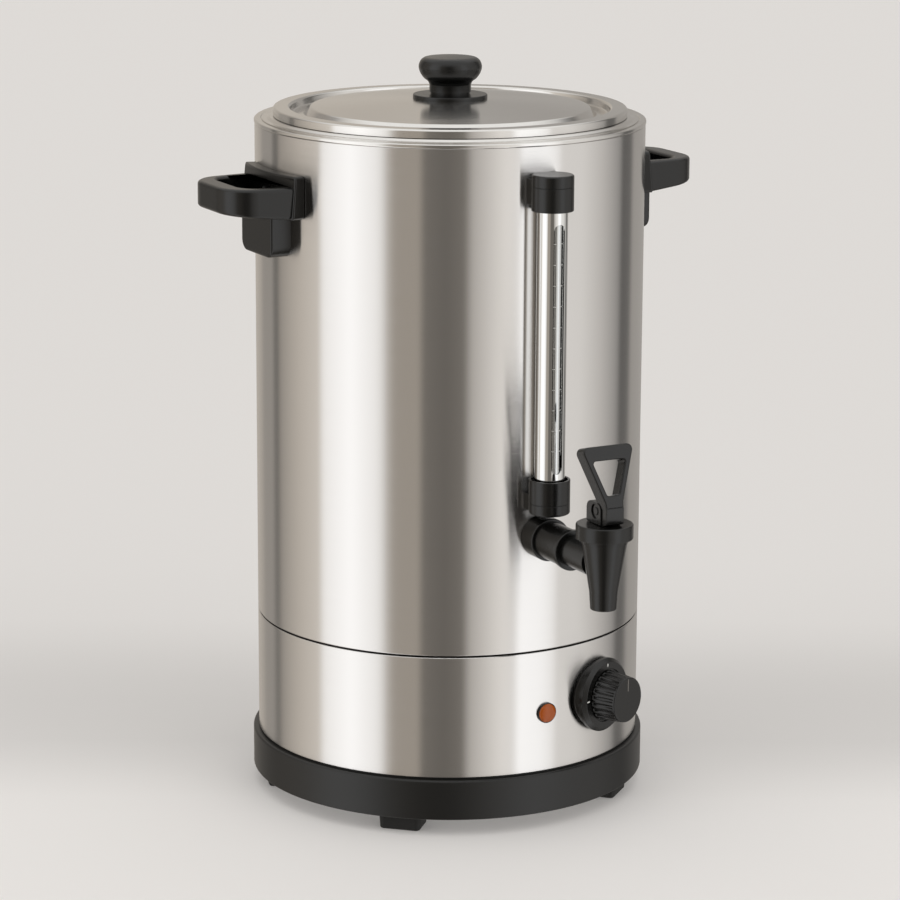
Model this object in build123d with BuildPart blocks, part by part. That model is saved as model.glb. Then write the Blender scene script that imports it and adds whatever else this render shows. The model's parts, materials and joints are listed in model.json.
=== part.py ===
from build123d import *
from math import cos, degrees, radians, sin, tan
import os

# Hot water urn with a double-walled steel body, a lever tap, a sight gauge and a lift-off lid.
# Millimetres. The origin is where the body axis meets the floor. +Z is up, the tap faces -Y,
# and azimuths are degrees round from the tap, positive towards +X.

# Fits
seat_gap = 0.1  # between a piece and the round wall that it is fastened to
running_gap = 0.3  # between faces that move past each other
snug = 0.05  # round a pin, screw or tube in its own hole
pivot_play = 0.05  # round a pin or spindle that turns or slides
wall_drill_depth = 20.0  # takes a drill through the outer steelwork from the plinth's radius
drill_overrun = 12.0  # how far a drill goes on past the tank wall
size_match = 0.01  # how close an edge's radius comes to the one that is asked for
recess_span = 1.2  # cross recess of a screw, as shares of the head's radius
recess_slot = 0.25
small_chamfer = 1.0

# Body, from the floor up
body_radius = 140.0
steel_wall = 1.0
foot_height = 12.0
plinth_height = 29.0
shadow_height = 1.2
band_height = 88.2
seam_height = 1.2
shell_height = 357.9
lip_height = 3.0
deck_step = 0.5
deck_rise = 1.4
seam_recess = 0.8
sheet_edge = 0.4

plinth_top = foot_height + plinth_height
band_bottom = plinth_top + shadow_height
band_top = band_bottom + band_height
shell_bottom = band_top + seam_height
shell_top = shell_bottom + shell_height
lip_top = shell_top + lip_height
flange_top = lip_top + deck_step
deck_top = flange_top + deck_rise
inside_radius = body_radius - steel_wall
wall_radius = body_radius + seat_gap

# Feet, base plate and plinth
foot_azimuths = (-42, 42, -108, 108, 180)
foot_depth = 24.0
foot_width = 31.0
foot_corner = 4.0
foot_taper = 4.0
foot_edge = 1.5
foot_inset = 8.0
foot_recess_radius = 5.0
foot_recess_depth = 7.0
plinth_overhang = 4.0
plinth_wall = 3.0
plinth_edge = 1.5
plinth_shelf = 21.0
shadow_recess = 0.6
spigot_depth = 8.0
spigot_wall = 2.5
base_plate_thickness = 1.2
base_screw_azimuths = (-75, 75, -145, 145)
base_screw_inset = 8.0
boss_radius = 5.0
boss_pilot_depth = 12.0
screw_radius = 2.0
screw_head_radius = 3.8
screw_head_height = 2.4

plinth_radius = body_radius + plinth_overhang
skirt_inside = plinth_radius - plinth_wall
foot_centre = plinth_radius - foot_inset - foot_depth / 2
plinth_shelf_radius = skirt_inside - plinth_shelf
base_screw_circle = plinth_shelf_radius + base_screw_inset

# Rings that join the shells
ring_wall = 1.5
ring_lap = 10.0
rim_overhang = 0.4
rim_width = 4.9
rim_joint = 0.5
rim_ledge_width = 4.5
rim_edge = 1.0

# Tank
tank_jacket = 18.0  # from the face of the outer wall to the inside of the tank
tank_floor_rise = 19.4
tank_corner = 12.0
flange_flat = 3.5
flange_slope = 2.0
flange_bend = 1.0
mouth_bend = 2.5

tank_radius = body_radius - tank_jacket
tank_drill_depth = tank_jacket + drill_overrun
tank_floor_top = shell_bottom + tank_floor_rise
tank_underside = tank_floor_top - steel_wall
weld_height = tank_floor_top + tank_corner
flange_radius = body_radius + rim_overhang - rim_width - rim_joint

# Heater under the tank floor
spreader_radius = 88.0
spreader_thickness = 4.0
element_ring_radius = 65.0
element_radius = 4.0
element_gap_angle = 30.0
element_lead = 22.0
element_lead_radius = 3.2
clamp_inner_lap = 17.0
clamp_outer_lap = 11.0
clamp_thickness = 1.5
clamp_bolt_inset = 11.0
clamp_bolt_count = 3
clamp_bolt_depth = 3.0
cutout_radius = 12.0
cutout_height = 9.0
cutout_tab = 6.0
cutout_tab_thickness = 1.0
bulb_radius = 3.0
bulb_length = 60.0
bulb_offset = 20.0
capillary_radius = 1.0
capillary_bend = 6.0
capillary_drop = 20.0

clamp_inner = element_ring_radius - clamp_inner_lap
clamp_outer = element_ring_radius + clamp_outer_lap
clamp_bolt_radius = element_ring_radius - clamp_bolt_inset
spreader_bottom = tank_underside - spreader_thickness
element_height = spreader_bottom - element_radius - seat_gap
clamp_top = element_height - element_radius - seat_gap
lead_inset = degrees(element_radius / element_ring_radius)
lead_places = [(element_ring_radius * cos(radians(angle)), element_ring_radius * sin(radians(angle)))
               for angle in (lead_inset, -element_gap_angle - lead_inset)]

# Lid
lid_overlap = 4.8
lid_skirt = 5.9
lid_rim_width = 12.0
channel_slope = 1.3
channel_width = 9.0
channel_rise_width = 4.5
channel_depth = 5.6
lid_crown = 5.7
knob_seat_radius = 28.0
crown_middle_share = 0.62
crown_middle_rise = 4.3
lid_bends = [1.2, 1.8, 1.2, 1.5, 2.5, 600.0, 30.0]  # from the rim inwards
locating_clearance = 1.5
locating_depth = 17.0
locating_foot = 4.0

lid_radius = tank_radius + lid_overlap
lid_ring_inner = lid_radius - lid_rim_width
channel_outer = lid_ring_inner - channel_slope
channel_inner = channel_outer - channel_width
panel_radius = channel_inner - channel_rise_width
crown_middle = crown_middle_share * panel_radius
lid_bottom = deck_top + running_gap
lid_ring_top = lid_bottom + lid_skirt
channel_floor = lid_ring_top - channel_depth
lid_top = lid_ring_top + lid_crown
locating_radius = tank_radius - locating_clearance

# Lid knob
knob_plate_radius = 26.7
knob_plate_height = 3.0
knob_plate_bevel = 0.85
knob_groove_radius = 14.0
knob_groove_height = 1.5
knob_neck_radius = 14.9
knob_neck_height = 5.4
knob_flare_radius = 19.1
knob_flare_height = 11.6
knob_bulge_radius = 22.65
knob_bulge_height = 19.9
knob_face_radius = 17.75
knob_face_height = 26.2
knob_dome = 0.5
knob_screw_radius = 2.5
knob_screw_depth = 13.0

knob_base = lid_top + knob_plate_height

# Side handles
handle_drop = 25.5
handle_plate_half = 41.0
handle_plate_height = 30.3
handle_plate_thickness = 11.0
handle_plate_top_thickness = 8.0
handle_plate_corner = 3.0
handle_plate_edge = 1.2
handle_reach = 49.0
handle_top_drop = 7.7
handle_thickness = 23.0
handle_rise_angle = 5.5
handle_bar = 15.2
handle_bar_half = 37.0
handle_bar_taper = 2.0
handle_root_corner = 4.0
handle_corner = 24.0
handle_gap_half = 29.5
handle_gap_corner = 13.0
handle_edge = 3.0
tongue_half = 25.0
tongue_drop = 29.0
tongue_reach = 13.0
tongue_corner = 8.0
handle_screw_upper = 14.0
handle_screw_lower = 44.0
handle_screw_radius = 2.5
handle_screw_depth = 7.0
handle_screw_spare = 1.0
nut_plate_width = 28.0
nut_plate_height = 46.0
nut_plate_thickness = 1.5
nut_plate_corner = 5.0
handle_screw_head_radius = 4.6

handle_plate_top = shell_top - handle_drop
handle_plate_bottom = handle_plate_top - handle_plate_height
handle_grip_top = handle_plate_top - handle_top_drop
handle_outer = body_radius + handle_reach
handle_plate_middle = (handle_plate_top + handle_plate_bottom) / 2
tongue_root = handle_plate_bottom + tongue_corner
tongue_bottom = handle_plate_bottom - tongue_drop

# Sight gauge
gauge_standoff = 12.0
gauge_shield_radius = 10.65
gauge_shield_wall = 0.8
gauge_slot_width = 8.5
gauge_slot_low = 5.0
gauge_slot_high = 8.4
gauge_glass_radius = 5.5
gauge_glass_wall = 1.2
gauge_cap_radius = 14.6
gauge_cap_height = 25.0
gauge_cap_top_drop = 17.5
gauge_cap_edge = 1.5
gauge_line_drop = 8.0
gauge_line_depth = 0.4
gauge_line_width = 0.6
gauge_socket_depth = 10.0
gauge_saddle_margin = 3.5
gauge_saddle_half = 13.4
gauge_collar_radius = 14.5
gauge_collar_height = 24.5
gauge_collar_gap = 3.8
gauge_cup_radius = 12.7
gauge_cup_depth = 4.0
gauge_seal_height = 5.0
gauge_chamber_radius = 4.0
gauge_port_rise = 7.5
nipple_radius = 4.5
nipple_bore = 2.0
nipple_nut_radius = 8.0
nipple_nut_height = 4.0
nipple_tail = 8.0
cap_screw_radius = 2.5
cap_screw_depth = 6.0

gauge_reach = body_radius + gauge_standoff

# Tap
tap_rise = 83.9
tap_reach = 229.0
tap_flange_radius = 15.2
tap_flange_depth = 15.0
shank_radius = 13.3
shank_length = 27.0
shank_thread_radius = 10.0
shank_bore_radius = 6.0
shank_socket_depth = 14.0
shank_tail = 10.0
shank_nut_radius = 16.0
shank_nut_height = 6.0
shank_seal_radius = 14.0
union_ring_radius = 14.3
union_ring_length = 5.0
tap_tail_radius = 9.0
tap_neck_radius = 11.0
tap_inlet_radius = 4.5
nozzle_drop = 30.7
nozzle_height = 12.5
nozzle_radius = 9.1
nozzle_shoulder_radius = 9.95
nozzle_bore_radius = 6.5
cone_height = 37.3
cone_radius = 15.9
cone_line_drop = 3.0
cone_line_depth = 0.3
valve_seat_radius = 4.5
valve_seat_rise = 22.0
valve_seat_thickness = 2.0
valve_chamber_radius = 8.6
bonnet_radius = 19.65
bonnet_height = 10.4
bonnet_plug_depth = 2.0
bonnet_edge = 0.8

tap_height = shell_bottom + tap_rise
tap_flange_face = body_radius + tap_flange_depth
shank_face = tap_flange_face + shank_length
union_face = shank_face + union_ring_length
nozzle_bottom = tap_height - nozzle_drop
cone_bottom = nozzle_bottom + nozzle_height
cone_top = cone_bottom + cone_height
bonnet_bottom = cone_top
bonnet_top = bonnet_bottom + bonnet_height
valve_seat_top = nozzle_bottom + valve_seat_rise

# Gauge heights that follow the tap and the rim
collar_bottom = tap_height + tap_flange_radius + gauge_collar_gap
collar_top = collar_bottom + gauge_collar_height
cap_top = shell_top - gauge_cap_top_drop
cap_bottom = cap_top - gauge_cap_height
gauge_shield_bottom = collar_top - gauge_socket_depth
gauge_shield_top = cap_bottom + gauge_socket_depth
gauge_port_height = collar_bottom + gauge_port_rise

# Tap stem and lever
stem_radius = 2.5
stem_tongue_lap = 1.0
cup_floor = 1.5
stem_collar_radius = 5.6
stem_collar_height = 1.0
seat_cup_radius = 7.4
seat_cup_height = 9.5
seat_cup_bevel = 1.2
spring_radius = 4.4
spring_wire_radius = 0.45
spring_turns = 5.5
pin_radius = 1.5
pin_head_radius = 2.8
pin_head_height = 0.9
pivot_rise = 9.0
tongue_thickness = 4.0
eye_radius = 3.2
lever_half = 6.8
lever_front = 14.0
lever_back = 11.5
lever_crease = 4.0
lever_front_foot = -6.6
lever_foot_edge = 1.5
lever_heel_lift = 8.0
lever_open_angle = 32.0
heel_steps = 4
lever_ear_height = 6.3
lever_ear_corner = 5.5
ear_thickness = 1.0
ear_width = 19.0
ear_recess_radius = 5.0
ear_recess_depth = 1.4
grip_lean = 15.6
grip_height = 43.0
grip_thickness = 11.0
grip_neck_half = 7.2
grip_top_half = 20.5
grip_neck_height = 4.5
grip_corner = 4.0
grip_hole_low = 9.0
grip_hole_high = 33.0
grip_hole_low_half = 4.4
grip_hole_high_half = 12.8
grip_hole_corner = 2.0

pivot_height = bonnet_top + pivot_rise
cup_bottom = valve_seat_top + running_gap
stem_bottom = cup_bottom + cup_floor
stem_collar_bottom = cup_bottom + seat_cup_height
spring_bottom = stem_collar_bottom + stem_collar_height
spring_top = bonnet_bottom - bonnet_plug_depth

# Thermostat, dial and lamp
dial_azimuth = 23.3
dial_rise = 47.3
dial_plate_radius = 26.75
dial_plate_depth = 8.0
dial_plate_bevel = 2.6
dial_step_radius = 24.6
dial_step_depth = 5.6
dial_well_radius = 19.2
dial_well_depth = 1.2
dial_post_offset = 20.5
dial_post_radius = 3.0
knob_skirt_radius = 18.2
knob_face_end_radius = 16.3
dial_knob_length = 19.2
dial_knob_edge = 0.8
flute_count = 22
flute_radius = 1.5
flute_circle_radius = 18.9
pointer_width = 1.2
pointer_depth = 0.5
pointer_length = 9.0
spindle_radius = 3.0
spindle_tail = 6.0
spindle_grip = 9.9
bush_radius = 5.4
bush_play = 0.3
bush_front = 3.5
thermostat_setback = 10.0
thermostat_plate_width = 50.0
thermostat_plate_height = 22.0
thermostat_plate_thickness = 1.2
thermostat_width = 31.0
thermostat_height = 38.0
thermostat_depth = 20.0
thermostat_corner = 1.5
small_screw_radius = 1.5
small_screw_head_radius = 2.7
small_screw_head_height = 1.8
small_screw_depth = 6.0
lamp_azimuth = 2.6
lamp_rise = 42.8
lamp_bezel_radius = 7.4
lamp_bezel_depth = 1.6
lamp_barrel_radius = 5.6
lamp_barrel_length = 24.0
lens_radius = 6.8
lens_proud = 2.6
lens_seat_depth = 1.0

dial_height = band_bottom + dial_rise
dial_face = body_radius + dial_plate_depth
dial_well = dial_face - dial_well_depth
thermostat_face = body_radius - thermostat_setback
knob_back = dial_well + running_gap
knob_front = knob_back + dial_knob_length
bush_end = body_radius + bush_front
lamp_height = band_bottom + lamp_rise
lamp_face = body_radius + lamp_bezel_depth
lens_seat = lamp_face - lens_seat_depth

# Power inlet and terminals
inlet_azimuth = 180
inlet_rise = 26.0
inlet_width = 50.0
inlet_height = 28.0
inlet_proud = 3.0
inlet_corner = 4.0
inlet_barrel_width = 30.0
inlet_barrel_height = 23.0
inlet_barrel_depth = 30.0
inlet_cavity_width = 25.0
inlet_cavity_height = 18.0
inlet_cavity_depth = 20.0
inlet_pin_width = 2.0
inlet_pin_height = 5.0
inlet_pin_rise = 15.0
inlet_pin_pitch = 7.0
inlet_pin_stagger = 2.0
inlet_pin_tab = 6.0
inlet_screw_pitch = 40.0
inlet_screw_depth = 8.0
terminal_length = 60.0
terminal_width = 22.0
terminal_height = 18.0
terminal_offset = 74.0
terminal_ways = 5
terminal_hole_radius = 2.0
terminal_hole_depth = 8.0

inlet_centre = band_bottom + inlet_rise
inlet_face = body_radius + inlet_proud
inlet_floor = inlet_face - inlet_cavity_depth
inlet_end = body_radius - inlet_barrel_depth
inlet_pin_places = [(-inlet_pin_pitch, -inlet_pin_stagger), (0, inlet_pin_stagger),
                    (inlet_pin_pitch, -inlet_pin_stagger)]


def outward(azimuth):
    """Direction away from the body axis."""
    angle = radians(azimuth)
    return Vector(sin(angle), -cos(angle), 0)


def sideways(azimuth):
    """Direction along the wall, to the right of someone who faces it."""
    angle = radians(azimuth)
    return Vector(cos(angle), sin(angle), 0)


def wall_plane(azimuth, height, distance, along=0):
    """Plane square to a radius: x along the wall, y up, z outward."""
    origin = outward(azimuth) * distance + sideways(azimuth) * along + Vector(0, 0, height)
    return Plane(origin=origin, x_dir=sideways(azimuth), z_dir=outward(azimuth))


def inner_plane(azimuth, height, distance, along=0):
    """Plane square to a radius that faces the body axis."""
    return wall_plane(azimuth + 180, height, -distance, -along)


def radius_plane(azimuth, height):
    """Plane that holds a radius: x is the distance from the body axis, y is up."""
    return Plane(origin=(0, 0, height), x_dir=outward(azimuth), z_dir=-sideways(azimuth))


def radius_axis(azimuth, height):
    """Axis that points out from the body axis at one height."""
    return Axis(Vector(0, 0, height), outward(azimuth))


def level_plane(azimuth, height, distance, up=1):
    """Level plane out on a radius: x points outward, z up or down."""
    origin = outward(azimuth) * distance + Vector(0, 0, height)
    return Plane(origin=origin, x_dir=outward(azimuth), z_dir=(0, 0, up))


def turn(outline, plane=Plane.XZ, axis=Axis.Z, mode=Mode.ADD):
    """Turn a closed outline of (radius, height) points about an axis."""
    with BuildSketch(plane) as half:
        with BuildLine():
            Polyline(*outline, close=True)
        make_face()
    revolve(half.sketch, axis=axis, mode=mode)


def turn_radial(outline, azimuth, height, mode=Mode.ADD):
    """Turn a closed outline of (distance, radius) points about a radius of the body."""
    turn(outline, radius_plane(azimuth, height), radius_axis(azimuth, height), mode)


def press_sheet(path, bends, side):
    """Turn a sheet of even thickness, given by one of its faces, about the body axis."""
    with BuildSketch(Plane.XZ) as half:
        with BuildLine():
            face_line = FilletPolyline(*path, radius=bends)
            offset(face_line, steel_wall, side=side)
        make_face()
    revolve(half.sketch, axis=Axis.Z)


def bore(plane, radius, depth):
    """Drill from a plane against its normal."""
    with BuildSketch(plane) as mouth:
        Circle(radius)
    extrude(mouth.sketch, amount=-depth, mode=Mode.SUBTRACT)


def cap_sphere(radius, height):
    """Radius of the sphere that a round cap of one radius and height is cut from."""
    return (radius ** 2 + height ** 2) / (2 * height)


def rings(builder, radius):
    """Round edges of one radius on a part in the making, from the lowest up."""
    circles = builder.edges().filter_by(GeomType.CIRCLE)
    return circles.filter_by(lambda edge: abs(edge.radius - radius) < size_match).sort_by(Axis.Z)


def seat_on_wall():
    """Take away what would stand inside the round outer wall."""
    Cylinder(radius=wall_radius, height=2 * deck_top, mode=Mode.SUBTRACT)


def screw(head_plane, thread_radius, length, head_radius, head_height):
    """Pan-head screw with a cross recess, its head on the plane and its thread behind it."""
    with BuildSketch(head_plane) as head:
        Circle(head_radius)
    extrude(head.sketch, amount=head_height)
    with BuildSketch(head_plane) as thread:
        Circle(thread_radius)
    extrude(thread.sketch, amount=-length)
    with BuildSketch(head_plane.offset(head_height)) as recess:
        Rectangle(recess_span * head_radius, recess_slot * head_radius)
        Rectangle(recess_slot * head_radius, recess_span * head_radius)
    extrude(recess.sketch, amount=-head_height / 2, mode=Mode.SUBTRACT)


def write(name, builder):
    """Label a finished piece and export it under its own name."""
    builder.part.label = name
    export_step(builder.part, f"parts/{name}.step")


os.makedirs("parts", exist_ok=True)


# Feet, each held by one screw in a recess

with BuildPart() as feet:
    for azimuth in foot_azimuths:
        with BuildSketch(level_plane(azimuth, foot_height, foot_centre, up=-1)):
            RectangleRounded(foot_depth, foot_width, foot_corner)
        extrude(amount=foot_height, taper=foot_taper)
    fillet(feet.edges().group_by(Axis.Z)[0], foot_edge)
    for azimuth in foot_azimuths:
        bore(level_plane(azimuth, 0, foot_centre, up=-1), foot_recess_radius, foot_recess_depth)
        bore(level_plane(azimuth, 0, foot_centre, up=-1), screw_radius + snug, foot_height)
write("feet", feet)

with BuildPart() as foot_screws:
    for azimuth in foot_azimuths:
        screw(level_plane(azimuth, foot_recess_depth, foot_centre, up=-1), screw_radius,
              foot_height - foot_recess_depth + 3 * base_plate_thickness,
              screw_head_radius, screw_head_height)
write("foot_screws", foot_screws)


# Base plate and the plinth that it closes

with BuildPart() as base_plate:
    with BuildSketch(Plane.XY.offset(foot_height)):
        Circle(skirt_inside - running_gap)
    extrude(amount=base_plate_thickness)
    plate_top = foot_height + base_plate_thickness
    for azimuth in foot_azimuths:
        bore(level_plane(azimuth, plate_top, foot_centre), screw_radius + snug, base_plate_thickness)
    for azimuth in base_screw_azimuths:
        bore(level_plane(azimuth, plate_top, base_screw_circle), screw_radius + snug,
             base_plate_thickness)
write("base_plate", base_plate)

with BuildPart() as base_plinth:
    shadow_radius = body_radius - shadow_recess
    spigot_radius = inside_radius - 2 * seat_gap
    shelf_under = plinth_top - plinth_wall
    turn([(skirt_inside, foot_height), (plinth_radius, foot_height), (plinth_radius, plinth_top),
          (shadow_radius, plinth_top), (shadow_radius, band_bottom), (spigot_radius, band_bottom),
          (spigot_radius, band_bottom + spigot_depth),
          (spigot_radius - spigot_wall, band_bottom + spigot_depth),
          (spigot_radius - spigot_wall, plinth_top), (plinth_shelf_radius, plinth_top),
          (plinth_shelf_radius, shelf_under), (skirt_inside, shelf_under)])
    fillet(rings(base_plinth, plinth_radius)[-1], plinth_edge)
    for azimuth in base_screw_azimuths:
        with BuildSketch(level_plane(azimuth, plate_top, base_screw_circle)):
            Circle(boss_radius)
        extrude(amount=shelf_under - plate_top)
        bore(level_plane(azimuth, plate_top, base_screw_circle, up=-1), screw_radius + snug,
             boss_pilot_depth)
write("base_plinth", base_plinth)

with BuildPart() as base_screws:
    for azimuth in base_screw_azimuths:
        screw(level_plane(azimuth, foot_height, base_screw_circle, up=-1), screw_radius,
              boss_pilot_depth, screw_head_radius, screw_head_height)
write("base_screws", base_screws)


# Outer steelwork: lower band, seam ring, upper shell and rim ring

with BuildPart() as base_band:
    with BuildSketch(Plane.XY.offset(band_bottom)):
        Circle(body_radius)
        Circle(inside_radius, mode=Mode.SUBTRACT)
    extrude(amount=band_height)
    fillet(rings(base_band, body_radius)[-1], sheet_edge)
    bore(wall_plane(dial_azimuth, dial_height, plinth_radius), bush_radius + bush_play,
         wall_drill_depth)
    for side in (-1, 1):
        post_plane = wall_plane(dial_azimuth, dial_height, plinth_radius)
        with BuildSketch(post_plane):
            with Locations((side * dial_post_offset, 0)):
                Circle(dial_post_radius + seat_gap)
        extrude(amount=-wall_drill_depth, mode=Mode.SUBTRACT)
    bore(wall_plane(lamp_azimuth, lamp_height, plinth_radius), lamp_barrel_radius + seat_gap,
         wall_drill_depth)
    with BuildSketch(wall_plane(inlet_azimuth, inlet_centre, plinth_radius)):
        Rectangle(inlet_barrel_width + 4 * seat_gap, inlet_barrel_height + 4 * seat_gap)
        with GridLocations(inlet_screw_pitch, 0, 2, 1):
            Circle(small_screw_radius + snug)
    extrude(amount=-wall_drill_depth, mode=Mode.SUBTRACT)
write("base_band", base_band)

with BuildPart() as seam_ring:
    ring_radius = inside_radius - seat_gap
    rib_radius = body_radius - seam_recess
    turn([(ring_radius - ring_wall, band_top - ring_lap), (ring_radius, band_top - ring_lap),
          (ring_radius, band_top), (rib_radius, band_top), (rib_radius, shell_bottom),
          (ring_radius, shell_bottom), (ring_radius, shell_bottom + ring_lap),
          (ring_radius - ring_wall, shell_bottom + ring_lap)])
write("seam_ring", seam_ring)

with BuildPart() as body_shell:
    with BuildSketch(Plane.XY.offset(shell_bottom)):
        Circle(body_radius)
        Circle(inside_radius, mode=Mode.SUBTRACT)
    extrude(amount=shell_height)
    fillet(rings(body_shell, body_radius)[0], sheet_edge)
    bore(wall_plane(0, tap_height, plinth_radius), shank_thread_radius + seat_gap,
         wall_drill_depth)
    bore(wall_plane(0, gauge_port_height, plinth_radius), nipple_radius + seat_gap,
         wall_drill_depth)
    bore(wall_plane(0, cap_bottom + gauge_cap_height / 2, plinth_radius),
         cap_screw_radius + seat_gap, wall_drill_depth)
    for azimuth in (-90, 90):
        for drop in (handle_screw_upper, handle_screw_lower):
            bore(wall_plane(azimuth, handle_plate_top - drop, plinth_radius),
                 handle_screw_radius + seat_gap, wall_drill_depth)
write("body_shell", body_shell)

with BuildPart() as rim_ring:
    lip_radius = body_radius + rim_overhang
    ledge_top = flange_top - steel_wall
    ledge_bottom = ledge_top - ring_wall
    turn([(lip_radius, shell_top), (lip_radius, lip_top), (lip_radius - rim_width, lip_top),
          (lip_radius - rim_width, ledge_top),
          (lip_radius - rim_width - rim_ledge_width, ledge_top),
          (lip_radius - rim_width - rim_ledge_width, ledge_bottom),
          (ring_radius - ring_wall, ledge_bottom), (ring_radius - ring_wall, shell_top - ring_lap),
          (ring_radius, shell_top - ring_lap), (ring_radius, shell_top)])
    fillet(rings(rim_ring, lip_radius), rim_edge)
write("rim_ring", rim_ring)


# Tank: a wall drawn in one with its top flange, and a dished floor welded in below it


def tank_pressing():
    """Whole tank, before it is divided into its wall and its floor."""
    with BuildPart() as pressing:
        press_sheet([(flange_radius, flange_top), (flange_radius - flange_flat, flange_top),
                     (flange_radius - flange_flat - flange_slope, deck_top),
                     (tank_radius, deck_top), (tank_radius, tank_floor_top), (0, tank_floor_top)],
                    [flange_bend, flange_bend, mouth_bend, tank_corner], Side.LEFT)
    return pressing.part


with BuildPart() as inner_tank:
    add(tank_pressing())
    split(bisect_by=Plane.XY.offset(weld_height), keep=Keep.TOP)
    bore(wall_plane(0, tap_height, body_radius), shank_thread_radius + seat_gap, tank_drill_depth)
    bore(wall_plane(0, gauge_port_height, body_radius), nipple_radius + seat_gap, tank_drill_depth)
write("inner_tank", inner_tank)

with BuildPart() as tank_floor:
    add(tank_pressing())
    split(bisect_by=Plane.XY.offset(weld_height), keep=Keep.BOTTOM)
write("tank_floor", tank_floor)


# Heater, clamped under the tank floor, with its cutout and thermostat sensor

with BuildPart() as heat_spreader_plate:
    with BuildSketch(Plane.XY.offset(spreader_bottom)):
        Circle(spreader_radius)
    extrude(amount=spreader_thickness)
    with BuildSketch(Plane.XY.offset(spreader_bottom)):
        with PolarLocations(clamp_bolt_radius, clamp_bolt_count):
            Circle(screw_radius + snug)
    extrude(amount=clamp_bolt_depth, mode=Mode.SUBTRACT)
write("heat_spreader_plate", heat_spreader_plate)

with BuildPart() as heating_element:
    with BuildLine():
        CenterArc((0, 0, element_height), element_ring_radius, 0, 360 - element_gap_angle)
    with BuildSketch(Plane.XZ):
        with Locations((element_ring_radius, element_height)):
            Circle(element_radius)
    sweep()
    with BuildSketch(Plane.XY.offset(element_height)):
        with Locations(*lead_places):
            Circle(element_lead_radius)
    extrude(amount=-element_lead)
write("heating_element", heating_element)

with BuildPart() as element_clamp:
    with BuildSketch(Plane.XY.offset(clamp_top)):
        Circle(clamp_outer)
        Circle(clamp_inner, mode=Mode.SUBTRACT)
        with PolarLocations(clamp_bolt_radius, clamp_bolt_count):
            Circle(screw_radius + snug, mode=Mode.SUBTRACT)
        with Locations(*lead_places):
            Circle(element_lead_radius + running_gap, mode=Mode.SUBTRACT)
    extrude(amount=-clamp_thickness)
write("element_clamp", element_clamp)

with BuildPart() as clamp_bolts:
    clamp_bottom = clamp_top - clamp_thickness
    for index in range(clamp_bolt_count):
        azimuth = 90 + index * 360 / clamp_bolt_count
        screw(level_plane(azimuth, clamp_bottom, clamp_bolt_radius, up=-1), screw_radius,
              spreader_bottom - clamp_bottom + clamp_bolt_depth - running_gap,
              screw_head_radius, screw_head_height)
write("clamp_bolts", clamp_bolts)

with BuildPart() as boil_dry_cutout:
    with BuildSketch(Plane.XY.offset(spreader_bottom)):
        Circle(cutout_radius)
    extrude(amount=-cutout_height)
    chamfer(boil_dry_cutout.faces().sort_by(Axis.Z)[0].edges(), small_chamfer)
    with BuildSketch(Plane.XY.offset(spreader_bottom - cutout_height)):
        with GridLocations(cutout_radius, 0, 2, 1):
            Rectangle(cutout_tab_thickness, cutout_tab)
    extrude(amount=-cutout_tab)
write("boil_dry_cutout", boil_dry_cutout)

with BuildPart() as sensor_bulb:
    bulb_height = spreader_bottom - bulb_radius - seat_gap
    bulb_end = bulb_length / 2
    with BuildSketch(Plane.YZ.offset(-bulb_end)):
        with Locations((bulb_offset, bulb_height)):
            Circle(bulb_radius)
    extrude(amount=bulb_length)
write("sensor_bulb", sensor_bulb)

with BuildPart() as capillary_tube:
    box_centre = outward(dial_azimuth) * (thermostat_face - thermostat_depth / 2)
    box_top = dial_height + thermostat_height / 2
    bend_x = bulb_end + 1.5 * capillary_bend
    low_run = bulb_height - capillary_drop
    with BuildLine():
        FilletPolyline((bulb_end, bulb_offset, bulb_height), (bend_x, bulb_offset, bulb_height),
                       (bend_x, bulb_offset, low_run), (box_centre.X, box_centre.Y, low_run),
                       (box_centre.X, box_centre.Y, box_top), radius=capillary_bend)
    with BuildSketch(Plane.YZ.offset(bulb_end)):
        with Locations((bulb_offset, bulb_height)):
            Circle(capillary_radius)
    sweep()
write("capillary_tube", capillary_tube)


# Lid: a pressed panel, the ring that locates it in the tank mouth, and its knob

with BuildPart() as lid_shell:
    press_sheet([(lid_radius, lid_bottom), (lid_radius, lid_ring_top),
                 (lid_ring_inner, lid_ring_top), (channel_outer, channel_floor),
                 (channel_inner, channel_floor), (panel_radius, lid_ring_top),
                 (crown_middle, lid_ring_top + crown_middle_rise), (knob_seat_radius, lid_top),
                 (0, lid_top)],
                lid_bends, Side.LEFT)
    bore(Plane.XY.offset(lid_top), knob_screw_radius + snug, 2 * steel_wall)
write("lid_shell", lid_shell)

with BuildPart() as lid_locating_ring:
    ring_top = lid_ring_top - steel_wall
    turn([(locating_radius, ring_top - locating_depth), (locating_radius, ring_top),
          (locating_radius - locating_foot, ring_top),
          (locating_radius - locating_foot, ring_top - steel_wall),
          (locating_radius - steel_wall, ring_top - steel_wall),
          (locating_radius - steel_wall, ring_top - locating_depth)])
write("lid_locating_ring", lid_locating_ring)

with BuildPart() as lid_knob_plate:
    turn([(knob_screw_radius + snug, lid_top), (knob_plate_radius, lid_top),
          (knob_plate_radius, knob_base - knob_plate_bevel),
          (knob_plate_radius - knob_plate_bevel, knob_base), (knob_screw_radius + snug, knob_base)])
write("lid_knob_plate", lid_knob_plate)

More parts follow.
